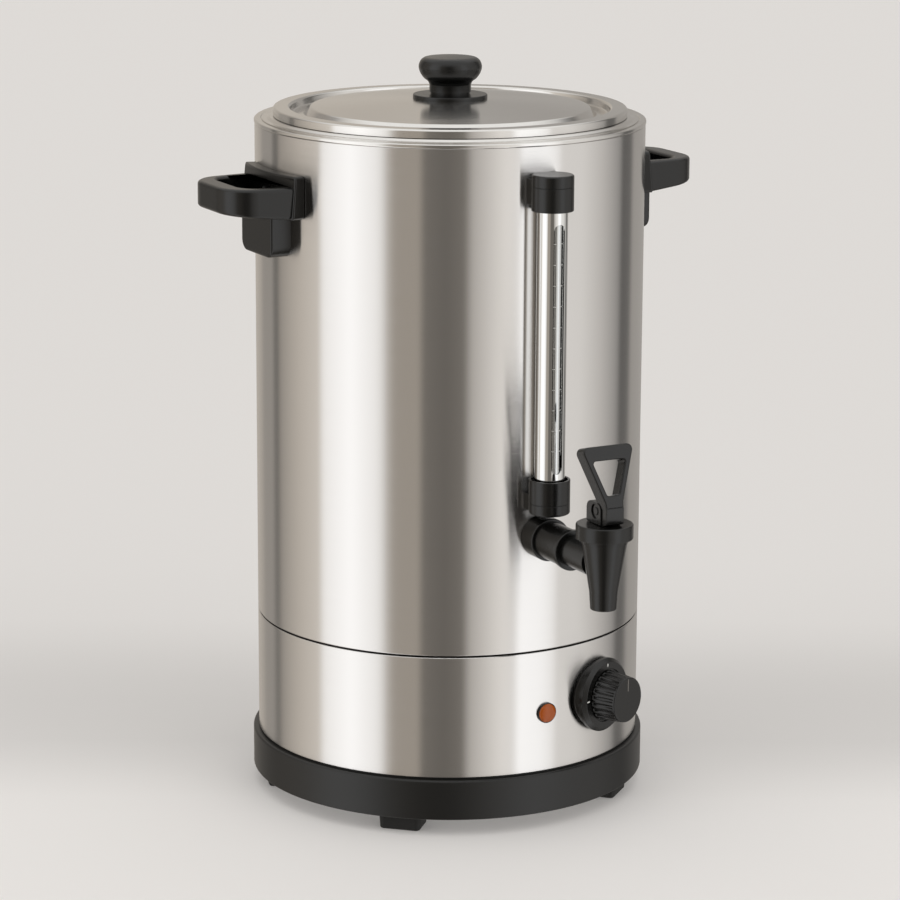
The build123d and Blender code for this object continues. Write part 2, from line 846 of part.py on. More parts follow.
with BuildPart() as lid_knob:
    with BuildSketch(Plane.XZ):
        with BuildLine():
            neck_bottom = knob_base + knob_groove_height
            neck_top = neck_bottom + knob_neck_height
            flare = (knob_flare_radius, knob_base + knob_flare_height)
            bulge = (knob_bulge_radius, knob_base + knob_bulge_height)
            face = (knob_face_radius, knob_base + knob_face_height)
            Polyline((0, knob_base), (knob_groove_radius, knob_base),
                     (knob_groove_radius, neck_bottom), (knob_neck_radius, neck_bottom),
                     (knob_neck_radius, neck_top))
            Spline((knob_neck_radius, neck_top), flare, bulge, face,
                   tangents=[(0, 1), (1, 1.1), (0, 1), (-1, 0.3)])
            crown = (0, face[1] + knob_dome)
            RadiusArc(face, crown, -cap_sphere(knob_face_radius, knob_dome))
            Line(crown, (0, knob_base))
        make_face()
    revolve(axis=Axis.Z)
    bore(Plane.XY.offset(knob_base).rotated((180, 0, 0)), knob_screw_radius + snug,
         knob_screw_depth)
write("lid_knob", lid_knob)

with BuildPart() as lid_knob_screw:
    screw(Plane.XY.offset(lid_top - steel_wall).rotated((180, 0, 0)), knob_screw_radius,
          steel_wall + knob_plate_height + knob_screw_depth - running_gap,
          2 * knob_screw_radius, knob_screw_radius)
write("lid_knob_screw", lid_knob_screw)


# Side handles, each moulded in one and held by two screws through a plate inside the shell


def grip_loop(side):
    """Loop of the handle seen from above, with its finger gap."""
    with BuildSketch(Plane.XY.offset(handle_grip_top)) as loop:
        with BuildLine():
            FilletPolyline((0, -side * handle_plate_half),
                           (side * inside_radius, -side * handle_plate_half),
                           (side * handle_outer, side * (handle_bar_taper - handle_bar_half)),
                           (side * handle_outer, side * (handle_bar_half - handle_bar_taper)),
                           (side * inside_radius, side * handle_plate_half),
                           (0, side * handle_plate_half),
                           radius=[handle_root_corner, handle_corner, handle_corner,
                                   handle_root_corner])
            Line((0, -side * handle_plate_half), (0, side * handle_plate_half))
        make_face()
        gap_inner = body_radius + handle_plate_thickness - 2 * handle_gap_corner
        gap_outer = handle_outer - handle_bar
        with Locations((side * (gap_inner + gap_outer) / 2, 0)):
            RectangleRounded(gap_outer - gap_inner, 2 * handle_gap_half, handle_gap_corner,
                             mode=Mode.SUBTRACT)
    extrude(loop.sketch, amount=-handle_thickness)


def tongue_outline():
    """Tab below the back plate, its lower corners rounded, seen along X."""
    with BuildSketch(Plane.YZ) as tab:
        with BuildLine():
            FilletPolyline((-tongue_half, tongue_root), (-tongue_half, tongue_bottom),
                           (tongue_half, tongue_bottom), (tongue_half, tongue_root),
                           radius=tongue_corner)
            Line((-tongue_half, tongue_root), (tongue_half, tongue_root))
        make_face()
    return tab.sketch


def wall_pad(side, outline):
    """Plate that follows the wall and thins towards its top."""
    with BuildPart() as pad:
        extrude(outline, amount=side * 2 * body_radius)
        with Locations((0, 0, handle_plate_middle)):
            Cone(bottom_radius=body_radius + handle_plate_thickness,
                 top_radius=body_radius + handle_plate_top_thickness,
                 height=handle_plate_height, mode=Mode.INTERSECT)
        outside = pad.faces().sort_by(Axis((0, 0, 0), (side, 0, 0)))[-1]
        fillet(outside.edges(), handle_plate_edge)
    return pad.part


def handle(side):
    """Grip, back plate and tongue of one handle, on the side that the sign gives."""
    with BuildSketch(Plane.YZ) as plate_outline:
        with Locations((0, handle_plate_middle)):
            RectangleRounded(2 * handle_plate_half, handle_plate_height, handle_plate_corner)
    with BuildPart() as piece:
        grip_loop(side)
        underside = Plane(origin=(side * body_radius, 0, handle_grip_top - handle_thickness),
                          x_dir=(cos(radians(handle_rise_angle)), 0,
                                 side * sin(radians(handle_rise_angle))),
                          z_dir=(-side * sin(radians(handle_rise_angle)), 0,
                                 cos(radians(handle_rise_angle))))
        split(bisect_by=underside, keep=Keep.TOP)
        grip_edges = piece.faces().sort_by(Axis.Z)[-1].edges()
        fillet(grip_edges, handle_edge)
        add(wall_pad(side, plate_outline.sketch))
        extrude(tongue_outline(), amount=side * (body_radius + tongue_reach))
        seat_on_wall()
        for drop in (handle_screw_upper, handle_screw_lower):
            bore(inner_plane(90 * side, handle_plate_top - drop, inside_radius),
                 handle_screw_radius + snug, handle_screw_depth + 2 * steel_wall)
    return piece


handle_right = handle(1)
write("handle_right", handle_right)

handle_left = handle(-1)
write("handle_left", handle_left)

with BuildPart() as handle_screw_plates:
    nut_plate_middle = handle_plate_top - (handle_screw_upper + handle_screw_lower) / 2
    plate_outside = inside_radius - seat_gap
    for azimuth in (-90, 90):
        with BuildSketch(wall_plane(azimuth, nut_plate_middle, inside_radius - ring_lap)):
            RectangleRounded(nut_plate_width, nut_plate_height, nut_plate_corner)
        extrude(amount=ring_lap)
    with BuildSketch(Plane.XY):
        Circle(plate_outside)
        Circle(plate_outside - nut_plate_thickness, mode=Mode.SUBTRACT)
    extrude(amount=shell_top, mode=Mode.INTERSECT)
    for azimuth in (-90, 90):
        for drop in (handle_screw_upper, handle_screw_lower):
            bore(inner_plane(azimuth, handle_plate_top - drop, plate_outside - ring_lap),
                 handle_screw_radius + snug, wall_drill_depth)
write("handle_screw_plates", handle_screw_plates)

with BuildPart() as handle_screws:
    head_seat = inside_radius - 2 * seat_gap - nut_plate_thickness
    for azimuth in (-90, 90):
        for drop in (handle_screw_upper, handle_screw_lower):
            screw(inner_plane(azimuth, handle_plate_top - drop, head_seat), handle_screw_radius,
                  nut_plate_thickness + 2 * steel_wall + handle_screw_depth - handle_screw_spare,
                  handle_screw_head_radius, screw_head_height)
write("handle_screws", handle_screws)


# Sight gauge: a glass in a slotted metal tube, held by a cap above and a collar below

gauge_plane = Plane.XZ.offset(gauge_reach)
gauge_axis = Axis((0, -gauge_reach, 0), (0, 0, 1))
shield_bore = gauge_shield_radius - gauge_shield_wall

with BuildPart() as gauge_tube_shield:
    turn([(shield_bore, gauge_shield_bottom), (gauge_shield_radius, gauge_shield_bottom),
          (gauge_shield_radius, gauge_shield_top), (shield_bore, gauge_shield_top)],
         gauge_plane, gauge_axis)
    slot_bottom = collar_top + gauge_slot_low
    slot_top = cap_bottom - gauge_slot_high
    with BuildSketch(gauge_plane):
        with Locations((0, (slot_bottom + slot_top) / 2)):
            SlotOverall(slot_top - slot_bottom, gauge_slot_width, rotation=90)
    extrude(amount=2 * gauge_shield_radius, mode=Mode.SUBTRACT)
write("gauge_tube_shield", gauge_tube_shield)

with BuildPart() as gauge_glass:
    turn([(gauge_glass_radius - gauge_glass_wall, gauge_shield_bottom),
          (gauge_glass_radius, gauge_shield_bottom), (gauge_glass_radius, gauge_shield_top),
          (gauge_glass_radius - gauge_glass_wall, gauge_shield_top)], gauge_plane, gauge_axis)
write("gauge_glass", gauge_glass)

with BuildPart() as gauge_seals:
    for low in (gauge_shield_bottom, gauge_shield_top - gauge_seal_height):
        turn([(gauge_glass_radius + snug, low), (shield_bore - snug, low),
              (shield_bore - snug, low + gauge_seal_height),
              (gauge_glass_radius + snug, low + gauge_seal_height)], gauge_plane, gauge_axis)
write("gauge_seals", gauge_seals)

with BuildPart() as gauge_top_cap:
    socket_radius = gauge_shield_radius + snug
    line_height = cap_top - gauge_line_drop
    turn([(0, gauge_shield_top), (socket_radius, gauge_shield_top), (socket_radius, cap_bottom),
          (gauge_cap_radius, cap_bottom), (gauge_cap_radius, line_height - gauge_line_width),
          (gauge_cap_radius - gauge_line_depth, line_height - gauge_line_width / 2),
          (gauge_cap_radius, line_height), (gauge_cap_radius, cap_top), (0, cap_top)],
         gauge_plane, gauge_axis)
    fillet(rings(gauge_top_cap, gauge_cap_radius)[-1], gauge_cap_edge)
    saddle_bottom = cap_bottom + gauge_saddle_margin
    with BuildSketch(Plane.XY.offset(saddle_bottom)):
        with Locations((0, -gauge_reach / 2 - gauge_shield_radius / 2)):
            Rectangle(2 * gauge_saddle_half, gauge_reach - gauge_shield_radius)
    extrude(amount=gauge_cap_height - 2 * gauge_saddle_margin)
    seat_on_wall()
    bore(Plane((0, -gauge_reach, cap_bottom), z_dir=(0, 0, -1)), socket_radius,
         gauge_socket_depth)
    bore(inner_plane(0, cap_bottom + gauge_cap_height / 2, inside_radius),
         cap_screw_radius + snug, cap_screw_depth + 2 * steel_wall)
write("gauge_top_cap", gauge_top_cap)

with BuildPart() as gauge_cap_screw:
    screw(inner_plane(0, cap_bottom + gauge_cap_height / 2, inside_radius - seat_gap),
          cap_screw_radius, cap_screw_depth + steel_wall, handle_screw_head_radius,
          screw_head_height)
write("gauge_cap_screw", gauge_cap_screw)

with BuildPart() as gauge_collar:
    turn([(0, collar_bottom), (gauge_collar_radius, collar_bottom),
          (gauge_collar_radius, gauge_port_height),
          (gauge_collar_radius - gauge_line_depth, gauge_port_height + gauge_line_width / 2),
          (gauge_collar_radius, gauge_port_height + gauge_line_width),
          (gauge_collar_radius, collar_top), (gauge_cup_radius, collar_top),
          (gauge_cup_radius, collar_top - gauge_cup_depth),
          (socket_radius, collar_top - gauge_cup_depth), (socket_radius, gauge_shield_bottom),
          (0, gauge_shield_bottom)], gauge_plane, gauge_axis)
    fillet(rings(gauge_collar, gauge_collar_radius)[0], gauge_cap_edge)
    stub_height = 2 * (nipple_radius + gauge_cap_edge)
    with BuildSketch(Plane.XY.offset(gauge_port_height - nipple_radius - gauge_cap_edge)):
        with Locations((0, -gauge_reach / 2 - gauge_shield_radius / 2)):
            Rectangle(2 * gauge_saddle_half, gauge_reach - gauge_shield_radius)
    extrude(amount=stub_height)
    seat_on_wall()
    bore(Plane((0, -gauge_reach, gauge_shield_bottom)), gauge_chamber_radius,
         gauge_shield_bottom - gauge_port_height + gauge_chamber_radius)
    bore(inner_plane(0, gauge_port_height, inside_radius), nipple_radius + snug,
         gauge_standoff + steel_wall - gauge_chamber_radius - gauge_cap_edge)
    bore(inner_plane(0, gauge_port_height, inside_radius), nipple_bore,
         gauge_standoff + steel_wall)
write("gauge_collar", gauge_collar)

nut_flat = (tank_radius ** 2 - shank_nut_radius ** 2) ** 0.5 - snug
nipple_flat = (tank_radius ** 2 - nipple_nut_radius ** 2) ** 0.5 - snug

with BuildPart() as gauge_nipple:
    nipple_inner = nipple_flat - nipple_tail
    nipple_outer = gauge_reach - gauge_chamber_radius - gauge_cap_edge - snug
    turn_radial([(nipple_inner, nipple_bore), (nipple_inner, nipple_radius),
                 (nipple_outer, nipple_radius), (nipple_outer, nipple_bore)],
                0, gauge_port_height)
write("gauge_nipple", gauge_nipple)

with BuildPart() as gauge_nipple_nut:
    with BuildSketch(inner_plane(0, gauge_port_height, nipple_flat)):
        RegularPolygon(nipple_nut_radius, 6)
        Circle(nipple_radius + snug, mode=Mode.SUBTRACT)
    extrude(amount=nipple_nut_height)
write("gauge_nipple_nut", gauge_nipple_nut)


# Tap: flange, shank and union that carry it, then its body, bonnet, valve and lever

tap_plane = Plane.XZ.offset(tap_reach)
tap_axis = Axis((0, -tap_reach, 0), (0, 0, 1))
thread_hole = shank_thread_radius + snug

with BuildPart() as tap_flange:
    turn_radial([(inside_radius, thread_hole), (inside_radius, tap_flange_radius),
                 (tap_flange_face, tap_flange_radius), (tap_flange_face, thread_hole)],
                0, tap_height)
    seat_on_wall()
    fillet(rings(tap_flange, tap_flange_radius).sort_by(Axis.Y)[0], bonnet_edge)
write("tap_flange", tap_flange)

with BuildPart() as tap_outlet_spacer:
    tank_outside = tank_radius + steel_wall + seat_gap
    turn_radial([(tank_radius, thread_hole), (tank_radius, shank_seal_radius),
                 (body_radius, shank_seal_radius), (body_radius, thread_hole)], 0, tap_height)
    Cylinder(radius=tank_outside, height=2 * deck_top, mode=Mode.SUBTRACT)
    Cylinder(radius=inside_radius - seat_gap, height=2 * deck_top, mode=Mode.INTERSECT)
write("tap_outlet_spacer", tap_outlet_spacer)

with BuildPart() as gauge_nipple_spacer:
    turn_radial([(tank_radius, nipple_radius + snug), (tank_radius, nipple_nut_radius),
                 (body_radius, nipple_nut_radius), (body_radius, nipple_radius + snug)],
                0, gauge_port_height)
    Cylinder(radius=tank_outside, height=2 * deck_top, mode=Mode.SUBTRACT)
    Cylinder(radius=inside_radius - seat_gap, height=2 * deck_top, mode=Mode.INTERSECT)
write("gauge_nipple_spacer", gauge_nipple_spacer)

with BuildPart() as tap_shank_seal:
    turn_radial([(nut_flat, thread_hole), (nut_flat, shank_seal_radius),
                 (tank_radius, shank_seal_radius), (tank_radius, thread_hole)], 0, tap_height)
    Cylinder(radius=tank_radius - snug, height=2 * deck_top, mode=Mode.INTERSECT)
write("tap_shank_seal", tap_shank_seal)

with BuildPart() as tap_shank_nut:
    with BuildSketch(inner_plane(0, tap_height, nut_flat)):
        RegularPolygon(shank_nut_radius, 6)
        Circle(thread_hole, mode=Mode.SUBTRACT)
    extrude(amount=shank_nut_height)
write("tap_shank_nut", tap_shank_nut)

with BuildPart() as tap_shank:
    tail_end = nut_flat - shank_tail
    socket_floor = shank_face - shank_socket_depth
    tail_socket = tap_tail_radius + snug
    turn_radial([(tail_end, shank_bore_radius), (tail_end, shank_thread_radius),
                 (tap_flange_face, shank_thread_radius), (tap_flange_face, shank_radius),
                 (shank_face, shank_radius), (shank_face, tail_socket),
                 (socket_floor, tail_socket), (socket_floor, shank_bore_radius)],
                0, tap_height)
write("tap_shank", tap_shank)

with BuildPart() as tap_union_ring:
    turn_radial([(shank_face, tail_socket), (shank_face, union_ring_radius),
                 (union_face, union_ring_radius), (union_face, tail_socket)], 0, tap_height)
    fillet(rings(tap_union_ring, union_ring_radius), bonnet_edge)
write("tap_union_ring", tap_union_ring)

with BuildPart() as tap_body:
    line_bottom = cone_top - cone_line_drop
    turn_radial([(socket_floor, 0), (socket_floor, tap_tail_radius), (union_face, tap_tail_radius),
                 (union_face, tap_neck_radius), (tap_reach, tap_neck_radius), (tap_reach, 0)],
                0, tap_height)
    turn([(0, nozzle_bottom), (nozzle_radius, nozzle_bottom),
          (nozzle_shoulder_radius, cone_bottom),
          (cone_radius - cone_line_depth, line_bottom), (cone_radius, line_bottom),
          (cone_radius, cone_top), (0, cone_top)], tap_plane, tap_axis)
    seat_floor = valve_seat_top - valve_seat_thickness
    turn([(0, nozzle_bottom), (nozzle_bore_radius, nozzle_bottom),
          (nozzle_bore_radius, seat_floor), (valve_seat_radius, seat_floor),
          (valve_seat_radius, valve_seat_top), (valve_chamber_radius, valve_seat_top),
          (valve_chamber_radius, cone_top), (0, cone_top)],
         tap_plane, tap_axis, Mode.SUBTRACT)
    turn_radial([(socket_floor, 0), (socket_floor, tap_inlet_radius),
                 (tap_reach, tap_inlet_radius), (tap_reach, 0)], 0, tap_height, Mode.SUBTRACT)
write("tap_body", tap_body)

with BuildPart() as tap_bonnet:
    stem_hole = stem_radius + pivot_play
    turn([(stem_hole, spring_top), (valve_chamber_radius - snug, spring_top),
          (valve_chamber_radius - snug, bonnet_bottom), (bonnet_radius, bonnet_bottom),
          (bonnet_radius, bonnet_top), (stem_hole, bonnet_top)], tap_plane, tap_axis)
    fillet(rings(tap_bonnet, bonnet_radius), bonnet_edge)
write("tap_bonnet", tap_bonnet)


def lever_point(forward, rise):
    """Point on a YZ plane, measured from the lever's pin."""
    return (-tap_reach - forward, pivot_height + rise)


def heel_point(angle):
    """Point of the heel that rests on the bonnet when the lever leans by an angle in radians."""
    reach = pivot_rise - running_gap + lever_heel_lift * angle
    return lever_point(reach * sin(angle) + lever_heel_lift * cos(angle),
                       lever_heel_lift * sin(angle) - reach * cos(angle))


with BuildPart() as tap_stem:
    tongue_base = bonnet_top + running_gap
    turn([(0, stem_bottom), (stem_radius, stem_bottom), (stem_radius, stem_collar_bottom),
          (stem_collar_radius, stem_collar_bottom), (stem_collar_radius, spring_bottom),
          (stem_radius, spring_bottom), (stem_radius, tongue_base + stem_tongue_lap),
          (0, tongue_base + stem_tongue_lap)],
         tap_plane, tap_axis)
    with BuildSketch(Plane.YZ):
        with Locations(lever_point(0, 0)):
            Circle(eye_radius)
        with BuildLine():
            Polyline(lever_point(eye_radius, 0), lever_point(-eye_radius, 0),
                     (-tap_reach + eye_radius, tongue_base), (-tap_reach - eye_radius, tongue_base),
                     close=True)
        make_face()
        with Locations(lever_point(0, 0)):
            Circle(pin_radius + snug, mode=Mode.SUBTRACT)
    extrude(amount=tongue_thickness / 2, both=True)
write("tap_stem", tap_stem)

with BuildPart() as tap_seat_cup:
    turn([(0, cup_bottom), (seat_cup_radius - seat_cup_bevel, cup_bottom),
          (seat_cup_radius, cup_bottom + seat_cup_bevel), (seat_cup_radius, stem_collar_bottom),
          (stem_radius + snug, stem_collar_bottom), (stem_radius + snug, stem_bottom),
          (0, stem_bottom)], tap_plane, tap_axis)
write("tap_seat_cup", tap_seat_cup)

with BuildPart() as tap_spring:
    coil_bottom = spring_bottom + spring_wire_radius + snug
    coil_height = spring_top - spring_bottom - 2 * (spring_wire_radius + snug)
    with BuildLine():
        coil = Helix(coil_height / spring_turns, coil_height, spring_radius,
                     center=(0, -tap_reach, coil_bottom))
    with BuildSketch(Plane(origin=coil @ 0, z_dir=coil % 0)):
        Circle(spring_wire_radius)
    sweep(is_frenet=True)
write("tap_spring", tap_spring)

with BuildPart() as tap_pin:
    recess_floor = lever_half + ear_thickness - ear_recess_depth
    with BuildSketch(Plane.YZ):
        with Locations(lever_point(0, 0)):
            Circle(pin_radius)
    extrude(amount=recess_floor + seat_gap, both=True)
    for side in (-1, 1):
        with BuildSketch(Plane.YZ.offset(side * (recess_floor + seat_gap))):
            with Locations(lever_point(0, 0)):
                Circle(pin_head_radius)
        extrude(amount=side * pin_head_height)
    fillet(rings(tap_pin, pin_head_radius).sort_by(Axis.X)[0], pin_head_height / 2)
    fillet(rings(tap_pin, pin_head_radius).sort_by(Axis.X)[-1], pin_head_height / 2)
write("tap_pin", tap_pin)

with BuildPart() as tap_lever:
    open_angle = radians(lever_open_angle)
    heel_rise = running_gap - pivot_rise
    with BuildSketch(Plane.YZ):
        with BuildLine():
            heel = Spline(*[heel_point(open_angle * step / heel_steps)
                            for step in range(heel_steps + 1)])
            Polyline(heel @ 1, lever_point(lever_front, lever_front_foot),
                     lever_point(lever_front, lever_crease),
                     lever_point(0, lever_ear_height),
                     lever_point(lever_ear_corner - lever_back, lever_ear_height))
            RadiusArc(lever_point(lever_ear_corner - lever_back, lever_ear_height),
                      lever_point(-lever_back, lever_ear_height - lever_ear_corner),
                      lever_ear_corner)
            Polyline(lever_point(-lever_back, lever_ear_height - lever_ear_corner),
                     lever_point(-lever_back, heel_rise + lever_foot_edge),
                     lever_point(lever_foot_edge - lever_back, heel_rise), heel @ 0)
        make_face()
    extrude(amount=lever_half, both=True)
    grip_plane = Plane(origin=(0, -tap_reach - lever_front, pivot_height + lever_crease),
                       x_dir=(1, 0, 0),
                       z_dir=(0, -cos(radians(grip_lean)), sin(radians(grip_lean))))
    with BuildSketch(grip_plane):
        with BuildLine():
            FilletPolyline((-lever_half, 0), (-grip_neck_half, grip_neck_height),
                           (-grip_top_half, grip_height), (grip_top_half, grip_height),
                           (grip_neck_half, grip_neck_height), (lever_half, 0),
                           radius=[grip_corner, grip_corner, grip_corner, grip_corner])
            Line((-lever_half, 0), (lever_half, 0))
        make_face()
        with BuildLine():
            FilletPolyline((-grip_hole_low_half, grip_hole_low),
                           (-grip_hole_high_half, grip_hole_high),
                           (grip_hole_high_half, grip_hole_high),
                           (grip_hole_low_half, grip_hole_low), close=True,
                           radius=grip_hole_corner)
        make_face(mode=Mode.SUBTRACT)
    extrude(amount=-grip_thickness)
    with BuildSketch(Plane.YZ):
        with BuildLine():
            ear_front = ear_width - lever_back
            FilletPolyline(lever_point(ear_front, heel_rise),
                           lever_point(ear_front, lever_ear_height),
                           lever_point(-lever_back, lever_ear_height),
                           lever_point(-lever_back, heel_rise + lever_foot_edge),
                           radius=lever_ear_corner)
            Polyline(lever_point(-lever_back, heel_rise + lever_foot_edge),
                     lever_point(lever_foot_edge - lever_back, heel_rise),
                     lever_point(ear_front, heel_rise))
        make_face()
    extrude(amount=lever_half + ear_thickness, both=True)
    slot_reach = eye_radius + running_gap
    slot_depth = pivot_rise + slot_reach
    slot_front = (slot_reach * cos(open_angle)
                  + (slot_depth + slot_reach * sin(open_angle)) * tan(open_angle))
    with BuildSketch(Plane.YZ):
        with Locations(lever_point(0, 0)):
            Circle(slot_reach)
        with BuildLine():
            Polyline(lever_point(-slot_reach, 0), lever_point(-slot_reach, -slot_depth),
                     lever_point(slot_front, -slot_depth),
                     lever_point(slot_reach * cos(open_angle), slot_reach * sin(open_angle)),
                     close=True)
        make_face()
    extrude(amount=stem_radius + running_gap, both=True, mode=Mode.SUBTRACT)
    with BuildSketch(Plane.YZ):
        with Locations(lever_point(0, 0)):
            Circle(pin_radius + pivot_play)
    extrude(amount=2 * lever_half, both=True, mode=Mode.SUBTRACT)
    for side in (-1, 1):
        with BuildSketch(Plane.YZ.offset(side * recess_floor)):
            with Locations(lever_point(0, 0)):
                Circle(ear_recess_radius)
        extrude(amount=side * lever_half, mode=Mode.SUBTRACT)
write("tap_lever", tap_lever)


# Dial plate, thermostat and knob

with BuildPart() as dial_plate:
    dial_root = body_radius - dial_plate_depth
    turn_radial([(dial_root, bush_radius + snug), (dial_root, dial_step_radius),
                 (dial_face - dial_step_depth, dial_step_radius),
                 (dial_face - dial_step_depth, dial_plate_radius),
                 (dial_face - dial_plate_bevel, dial_plate_radius),
                 (dial_face, dial_plate_radius - dial_plate_bevel), (dial_face, dial_well_radius),
                 (dial_well, dial_well_radius), (dial_well, bush_radius + snug)],
                dial_azimuth, dial_height)
    seat_on_wall()
    for along in (-dial_post_offset, dial_post_offset):
        with BuildSketch(wall_plane(dial_azimuth, dial_height, thermostat_face, along)):
            Circle(dial_post_radius)
        extrude(amount=dial_well - steel_wall - thermostat_face)
        bore(inner_plane(dial_azimuth, dial_height, thermostat_face, along),
             small_screw_radius + snug, small_screw_depth)
write("dial_plate", dial_plate)

with BuildPart() as thermostat_body:
    plate_back = thermostat_face - thermostat_plate_thickness
    with BuildSketch(wall_plane(dial_azimuth, dial_height, thermostat_face)):
        Rectangle(thermostat_plate_width, thermostat_plate_height)
    extrude(amount=-thermostat_plate_thickness)
    with BuildSketch(wall_plane(dial_azimuth, dial_height, plate_back)):
        RectangleRounded(thermostat_width, thermostat_height, thermostat_corner)
    extrude(amount=-thermostat_depth)
    with BuildSketch(wall_plane(dial_azimuth, dial_height, thermostat_face)):
        Circle(bush_radius)
    extrude(amount=bush_end - thermostat_face)
    bore(wall_plane(dial_azimuth, dial_height, bush_end), spindle_radius + pivot_play,
         bush_end - thermostat_face + spindle_tail)
    for along in (-dial_post_offset, dial_post_offset):
        bore(wall_plane(dial_azimuth, dial_height, thermostat_face, along),
             small_screw_radius + snug, thermostat_plate_thickness)
write("thermostat_body", thermostat_body)

with BuildPart() as thermostat_screws:
    for along in (-dial_post_offset, dial_post_offset):
        screw(inner_plane(dial_azimuth, dial_height, plate_back, along), small_screw_radius,
              thermostat_plate_thickness + small_screw_depth - running_gap,
              small_screw_head_radius, small_screw_head_height)
write("thermostat_screws", thermostat_screws)

with BuildPart() as thermostat_spindle:
    turn_radial([(thermostat_face - spindle_tail + running_gap, 0),
                 (thermostat_face - spindle_tail + running_gap, spindle_radius),
                 (knob_back + spindle_grip, spindle_radius), (knob_back + spindle_grip, 0)],
                dial_azimuth, dial_height)
write("thermostat_spindle", thermostat_spindle)

with BuildPart() as thermostat_knob:
    turn_radial([(knob_back, 0), (knob_back, knob_skirt_radius),
                 (knob_front, knob_face_end_radius), (knob_front, 0)], dial_azimuth, dial_height)
    fillet(rings(thermostat_knob, knob_face_end_radius), dial_knob_edge)
    with BuildSketch(wall_plane(dial_azimuth, dial_height, knob_back + dial_knob_edge)):
        with PolarLocations(flute_circle_radius, flute_count):
            Circle(flute_radius)
    extrude(amount=dial_knob_length, mode=Mode.SUBTRACT)
    with BuildSketch(wall_plane(dial_azimuth, dial_height, knob_front)):
        with Locations((0, knob_face_end_radius - dial_knob_edge - pointer_length / 2)):
            Rectangle(pointer_width, pointer_length)
    extrude(amount=-pointer_depth, mode=Mode.SUBTRACT)
    bore(inner_plane(dial_azimuth, dial_height, knob_back), spindle_radius + snug, spindle_grip)
write("thermostat_knob", thermostat_knob)


# Pilot lamp

with BuildPart() as lamp_housing:
    turn_radial([(inside_radius, 0), (inside_radius, lamp_bezel_radius),
                 (lamp_face, lamp_bezel_radius), (lamp_face, lens_radius + snug),
                 (lens_seat, lens_radius + snug), (lens_seat, 0)], lamp_azimuth, lamp_height)
    seat_on_wall()
    with BuildSketch(wall_plane(lamp_azimuth, lamp_height, lens_seat)):
        Circle(lamp_barrel_radius)
    extrude(amount=-lamp_barrel_length)
write("lamp_housing", lamp_housing)

with BuildPart() as lamp_lens:
    with BuildSketch(radius_plane(lamp_azimuth, lamp_height)):
        with BuildLine():
            lens_rim = (lamp_face, lens_radius)
            lens_tip = (lamp_face + lens_proud, 0)
            Polyline(lens_tip, (lens_seat, 0), (lens_seat, lens_radius), lens_rim)
            RadiusArc(lens_rim, lens_tip, cap_sphere(lens_radius, lens_proud))
        make_face()
    revolve(axis=radius_axis(lamp_azimuth, lamp_height))
write("lamp_lens", lamp_lens)


# Power inlet at the back and the terminal block on the base plate

with BuildPart() as inlet_socket:
    with BuildSketch(wall_plane(inlet_azimuth, inlet_centre, inlet_face)):
        RectangleRounded(inlet_width, inlet_height, inlet_corner)
    extrude(amount=-2 * inlet_proud - inlet_corner)
    seat_on_wall()
    with BuildSketch(wall_plane(inlet_azimuth, inlet_centre, inlet_face)):
        Rectangle(inlet_barrel_width, inlet_barrel_height)
    extrude(amount=inlet_end - inlet_face)
    with BuildSketch(wall_plane(inlet_azimuth, inlet_centre, inlet_face)):
        RectangleRounded(inlet_cavity_width, inlet_cavity_height, inlet_corner / 2)
    extrude(amount=-inlet_cavity_depth, mode=Mode.SUBTRACT)
    for along, rise in inlet_pin_places:
        with BuildSketch(wall_plane(inlet_azimuth, inlet_centre + rise, inlet_floor, along)):
            Rectangle(inlet_pin_width + 2 * snug, inlet_pin_height + 2 * snug)
        extrude(amount=inlet_end - inlet_floor, mode=Mode.SUBTRACT)
    for along in (-inlet_screw_pitch / 2, inlet_screw_pitch / 2):
        bore(wall_plane(inlet_azimuth, inlet_centre, inlet_face, along),
             small_screw_radius + snug, inlet_screw_depth)
write("inlet_socket", inlet_socket)

with BuildPart() as inlet_pins:
    for along, rise in inlet_pin_places:
        with BuildSketch(wall_plane(inlet_azimuth, inlet_centre + rise,
                                    inlet_end - inlet_pin_tab, along)):
            Rectangle(inlet_pin_width, inlet_pin_height)
        extrude(amount=inlet_pin_tab + inlet_floor - inlet_end + inlet_pin_rise)
write("inlet_pins", inlet_pins)

with BuildPart() as inlet_screws:
    for along in (-inlet_screw_pitch / 2, inlet_screw_pitch / 2):
        screw(wall_plane(inlet_azimuth, inlet_centre, inlet_face, along), small_screw_radius,
              inlet_screw_depth, small_screw_head_radius, small_screw_head_height)
write("inlet_screws", inlet_screws)

with BuildPart() as terminal_block:
    with BuildSketch(Plane.XY.offset(plate_top)):
        with Locations((0, terminal_offset)):
            Rectangle(terminal_length, terminal_width)
    extrude(amount=terminal_height)
    chamfer(terminal_block.edges().group_by(Axis.Z)[-1], small_chamfer)
    with BuildSketch(Plane.XY.offset(plate_top + terminal_height)):
        with Locations((0, terminal_offset)):
            with GridLocations(terminal_length / terminal_ways, 0, terminal_ways, 1):
                Circle(terminal_hole_radius)
    extrude(amount=-terminal_hole_depth, mode=Mode.SUBTRACT)
write("terminal_block", terminal_block)
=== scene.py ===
import json
import math

import bmesh
import bpy
import numpy as np
from mathutils import Matrix, Vector
from mathutils.geometry import tessellate_polygon


